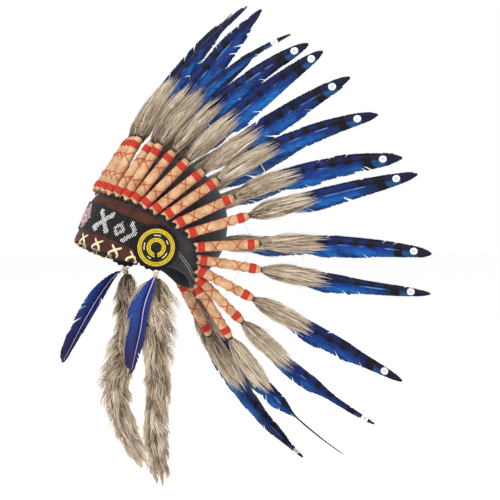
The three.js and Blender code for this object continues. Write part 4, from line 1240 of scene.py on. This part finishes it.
def drop_fur(line, name, seed):
    """A hair leaves a flat core at an angle phi: s = s0 + L (cos phi u + u^2 / 4), and it stands out by
    L sin phi (u - 0.42 u^2). Locks of hairs share their phi, their sway and their shade, and on the ragged
    edge the hairs are longer and stand out more."""
    rng = np.random.default_rng(seed)
    n = HAIRS_PER_DROP
    half = (DROP_FUR_WIDTH / 2, DROP_FUR_THICKNESS / 2)
    start = rng.uniform(0.0, 0.93, n) * DROP_FUR_LENGTH
    around = rng.uniform(0, 2 * math.pi, n)
    row, column = (start / LOCK_ROW).astype(int), (around / (2 * math.pi) * LOCKS_ROUND).astype(int)
    which = row * LOCKS_ROUND + column
    count = which.max() + 1
    phi = np.clip(rng.normal(0.66, 0.3, count)[which] + rng.normal(0, 0.12, n), 0.1, 1.25)
    sway, shade = rng.normal(0, 0.42, count)[which], rng.normal(0, 0.15, count)[which]
    gather = rng.uniform(0.2, 0.8, count)[which]
    share = start / DROP_FUR_LENGTH
    ragged = np.zeros(n, bool)
    for edge_side, edge_from, edge_to in WISPS[name]:
        ragged |= (np.cos(around) * edge_side > 0.35) & (edge_from < share) & (share < edge_to)
    ragged &= rng.random(n) < 0.55
    phi = np.where(ragged, phi * 0.5 + 0.82, phi)
    length = rng.uniform(15, 30, n) * np.where(ragged, rng.uniform(1.3, 2.2, n), 1.0)
    u = HAIR_U[None, :]
    middle = (row * LOCK_ROW + 6 + rng.uniform(-4, 4, count)[which])[:, None]
    s = start[:, None] + length[:, None] * (np.cos(phi)[:, None] * u * 0.85 + u * u / 4) + (
        middle - start[:, None]) * 0.5 * gather[:, None] * u
    s = np.minimum(s, DROP_FUR_LENGTH + 4)
    size = through(DROP_FUR_SHARE, DROP_FUR_SIZE[name], np.clip(s / DROP_FUR_LENGTH, 0, 1))
    centre = (column + 0.5) / LOCKS_ROUND * 2 * math.pi
    t = around[:, None] + (centre - around)[:, None] * gather[:, None] * u + sway[:, None] * u ** 1.5
    stand = length[:, None] * np.sin(phi)[:, None] * (u - 0.42 * u * u)
    across = (half[0] * 0.6 * size + stand * 0.85) * np.cos(t)
    # thin at the top, where the thong and the feather hang in front of it
    most = half[1] * (0.85 + 0.4 * smooth_step(38, 60, s))
    deep = np.clip((half[1] * 0.6 * size + stand * 0.5) * np.sin(t), -half[1] * 1.25, most)
    path = line.spread(s, across, deep)
    _, _, o, b = line.at(s)
    out = b * np.cos(t)[..., None] + o * np.sin(t)[..., None]
    points, faces = hairs(path, rng.uniform(0.34, 0.66, n), out, HAIR_TAPER)
    tone = (0.14 + 0.44 * u + 0.3 * np.abs(np.cos(around))[:, None] ** 2 * (0.3 + 0.7 * u) + shade[:, None]
            + rng.normal(0, 0.2, n)[:, None])
    s_core = np.linspace(0, 0.95, 40) * DROP_FUR_LENGTH
    t_core = np.arange(16) * 2 * math.pi / 16
    r_core = (through(DROP_FUR_SHARE, DROP_FUR_SIZE[name], s_core / DROP_FUR_LENGTH) * 0.6)[:, None] * (
        1 + 0.1 * np.sin(3 * t_core + s_core[:, None] / 9))
    core = line.spread(np.broadcast_to(s_core[:, None], r_core.shape),
                       half[0] * r_core * np.cos(t_core) * line.side, half[1] * r_core * np.sin(t_core))
    all_points, all_faces = joined([(core, tube_faces(1, *core.shape[:2])), (points, faces)])
    tones = np.concatenate([np.full(core.size // 3, 0.12), np.repeat(tone, 3, 1).ravel()])
    return all_points, all_faces, tones


for name, side in SIDES:
    line = HangingLine(f"fur_{name}", FUR_FOOT, DROP_FUR_LENGTH, side)
    points, faces, tone = drop_fur(line, name, 800 + side)
    add_piece(f"hanging_fur_{name}", points, faces, fur, "fur", [f"drop_fur_{name}"], {"tone": tone})
print("drop furs", len(points), "points each")

# %% [markdown]
# ## Laces, thongs and cords
# What is left is tied, laced or sewn: round or flat strands through a few points. A smooth path goes through
# the points and a round or flat ring is carried along it.

# %% Strands
THONG_DIAMETER = 2.8
THONG_ENDS = {
    "left": [(0, 0, 0), (0, 0, -15), (0, 1, -31)],
    "right": [(0, 0, 0), (0, -9, -14), (0, -14, -26), (0, -20, -38)],
}
# one lace of the bunch, from the rosette down: its reach across and to the back, its height, and its turn
LACE_LOOP = ((6.0, 5, 4.6, 0), (2.4, 2.2, 1, 0.8), (3.4, 3.2, -2.5, 1.7), (2.8, 2.6, -4.8, 2.4))
LACES_IN_BUNCH, BUNCH_TURN, BUNCH_LACE = 9, 0.7, (0.95, 0.8)


def through_points(points, count):
    """A smooth path through points, spaced by their distance apart."""
    points = np.asarray(points, float)
    along = np.concatenate([[0], np.cumsum(np.linalg.norm(np.diff(points, axis=0), axis=1))])
    at = np.linspace(0, along[-1], count)
    return np.stack([through(along, points[:, k], at) for k in range(3)], -1)


def strand(path, wide, deep, out=(1.0, 0.0, 0.0), cols=8, taper=0.15):
    """A strand whose ends close over the last few rings."""
    t = np.linspace(0, 1, len(path))
    end = np.sqrt(np.clip(1 - (2 * t - 1) ** 10, 0, 1)) * (1 - taper) + taper
    return sweep(path, np.broadcast_to(np.asarray(out, float), path.shape), wide * end, deep * end, cols)


def leather_finish():
    """Near-black hide with a fine grain and a little gloss."""
    f = Finish("thong leather", Roughness=0.5, Coat_Weight=0.15, Coat_Roughness=0.4)
    grain = f.noise(f.place(), 900, 3, 0.6)
    f.bump(grain, 0.4, 0.0003)
    return f.colour(f.mix(f.step(grain, 0.3, 0.8), rgb(14, 12, 12), rgb(40, 34, 30)))


thong_leather = leather_finish()
cream_lace = suede_finish("cream lace", rgb(196, 172, 128), rgb(240, 226, 190), 140.0)
for name, side in SIDES:
    mirror = np.array([side, 1, 1])
    path = through_points((np.array(THONG_ENDS[name]) + THONG_FOOT) * mirror, 26)
    rings = strand(path, THONG_DIAMETER / 2, THONG_DIAMETER / 2 * 0.85)
    thong = add_piece(f"black_thong_{name}", rings, tube_faces(1, *rings.shape[:2]), thong_leather,
                      "thong_leather", [f"thong_{name}"])
    knots = []
    rng = np.random.default_rng(900 + side)
    for k in range(LACES_IN_BUNCH):
        a = k * BUNCH_TURN
        loop = TIE + np.array([(x * math.cos(a + turn), y * math.sin(a + turn), z)
                               for x, y, z, turn in LACE_LOOP])
        path = through_points((loop + rng.normal(0, 0.3, loop.shape)) * mirror, 18)
        rings = strand(path, *BUNCH_LACE, (0, 0.3, 1.0), 6)
        knots.append((rings, tube_faces(1, *rings.shape[:2])))
    add_piece(f"lace_bunch_{name}", *joined(knots), cream_lace, "lace", [f"tie_{name}"])
print("thongs and ties")

# %% [markdown]
# Cream laces cross in an X over the hem of the band and pass under it to the inside. Each leg is a flat
# strip whose path is given by angle, height and lift on the cap.

# %% Hem lacing
LACE_ANGLES = (18, 38, 57, 74)
LACE_TOP, LACE_HALF = 12.5, 4.6  # height above the hem and half the width of a cross, in degrees
LACE_ARC = 1.5  # millimetres to a degree, for the length of a leg


def hem_lace(centre, lean):
    """Down the front of the band at a slant, round the hem, and back up inside the felt."""
    out = SEAT_GAP + BAND_THICKNESS + 0.7
    inside = -FELT - 0.8
    rows = np.array([(-lean, LACE_TOP, out - 0.9), (-lean * 0.85, LACE_TOP * 0.93, out),
                     (0, LACE_TOP * 0.55, out + 0.4), (lean * 0.8, 2.2, out), (lean * 0.9, -0.6, out * 0.8),
                     (lean * 0.8, -1.5, 0.0), (lean * 0.6, -0.6, inside), (lean * 0.3, 4, inside),
                     (lean * 0.1, 9, inside)])
    to_length = np.array([LACE_ARC, 1, 1])
    smooth = through_points(rows * to_length, 34) / to_length
    angle = centre + smooth[:, 0]
    height = edge(angle, "hem") + smooth[:, 1]
    path = cap_point(angle, height, smooth[:, 2])
    out_dir = cap_normal(angle, height)
    turned = 2 * smooth_step(-4, 4, smooth[:, 2])[:, None] - 1
    out_dir = unit(out_dir * turned + np.array([0, 0, -1.0]) * (1 - np.abs(turned)))
    return on_head(path), on_head(out_dir)


laces = []
for angle in LACE_ANGLES:
    for side in (1, -1):
        for lean in (LACE_HALF, -LACE_HALF):
            path, out = hem_lace(angle * side, lean * side)
            swell = 1.25 + 0.55 * np.sin(np.linspace(0, math.pi, len(path)) * 1.6).clip(0)
            rings = sweep(path, out, swell, 0.7, 6)
            laces.append((rings, tube_faces(1, *rings.shape[:2])))
add_piece("hem_laces", *joined(laces), cream_lace, "lace")
print("hem laces", len(laces))

# %% [markdown]
# A doubled silver-grey cord lies on the felt behind the rosette, and a white thread passes through the tufts
# to keep the feathers evenly spaced.

# %% Cords on the felt and between the tufts
CORD_FROM, CORD_TO, CORD_APART = (104, 0.2), (141, 0.055), 1.5  # angle and share of the cap's height
SPACING_AT = 146
silver = yarn_finish("silver cord", rgb(104, 102, 104), rgb(176, 174, 172))
white_thread = yarn_finish("white thread", rgb(226, 224, 218), rgb(250, 249, 246))
cords = []
for side in (1, -1):
    for k in (-1, 1):
        t = np.linspace(0, 1, 30)
        angle = (CORD_FROM[0] + (CORD_TO[0] - CORD_FROM[0]) * t) * side
        height = (CORD_FROM[1] + (CORD_TO[1] - CORD_FROM[1]) * t) * CAP_HEIGHT + k * CORD_APART
        path = on_head(cap_point(angle, height, 0.75))
        rings = strand(path, 0.55, 0.5, on_head(cap_normal(angle, height)), 6)
        cords.append((rings, tube_faces(1, *rings.shape[:2])))
    knot_at = on_head(cap_point(CORD_TO[0] * side, CORD_TO[1] * CAP_HEIGHT, 1.6))
    t = np.linspace(0, 1, 24)[:, None] * 2 * math.pi
    ahead = unit(on_head(cap_point((CORD_TO[0] + 1) * side, CORD_TO[1] * CAP_HEIGHT, 1.6)) - knot_at)
    away = on_head(cap_normal(CORD_TO[0] * side, CORD_TO[1] * CAP_HEIGHT))
    path = knot_at + np.cross(away, ahead) * 1.9 * np.cos(t) + ahead * (1.5 * np.sin(t) + 0.8 * np.sin(2 * t))
    rings = sweep(path, np.broadcast_to(away, path.shape), 0.65, 0.6, 6)
    cords.append((rings, tube_faces(1, *rings.shape[:2])))
add_piece("silver_cords", *joined(cords), silver, "lace")
threads = []
for name, side in SIDES:
    stops = np.array([line.at(np.array([SPACING_AT + 2.5 * math.sin(row * 1.9)]))[0][0]
                      for _, row, plume_side, line in plumes if plume_side == side])
    middle = (stops[1:] + stops[:-1]) / 2 + np.array([0, 0, -2.0])
    path = np.empty((len(stops) * 2 - 1, 3))
    path[::2], path[1::2] = stops, middle
    thread = 0.5 if side > 0 else 0.3
    rings = strand(through_points(path, 240), thread, thread, (0.6, 0.5, 0.7), 5)
    threads.append((rings, tube_faces(1, *rings.shape[:2])))
add_piece("spacing_thread", *joined(threads), white_thread, "lace")
print("cords and spacing thread")

# %% [markdown]
# ## The floor
# Last comes the stage, which isn't part of the object.

# %% Floor and finish
floor_finish = Finish("floor", Roughness=0.9, Emission_Color=(1, 1, 1, 1), Emission_Strength=0.4)
paper = floor_finish.noise(floor_finish.place(), 3, 2)
floor_finish.colour(floor_finish.mix(paper, (0.93, 0.93, 0.93), (0.95, 0.95, 0.95)))
FLOOR_HALF = 12000
corners = [(x * FLOOR_HALF * MM, y * FLOOR_HALF * MM, FLOOR_Z * MM)
           for x, y in ((-1, -1), (1, -1), (1, 1), (-1, 1))]
floor = bpy.data.meshes.new("floor")
floor.from_pydata(corners, [], [(0, 1, 2, 3)])
floor.materials.append(floor_finish.material)
floor_object = bpy.data.objects.new("floor", floor)
bpy.context.scene.collection.objects.link(floor_object)

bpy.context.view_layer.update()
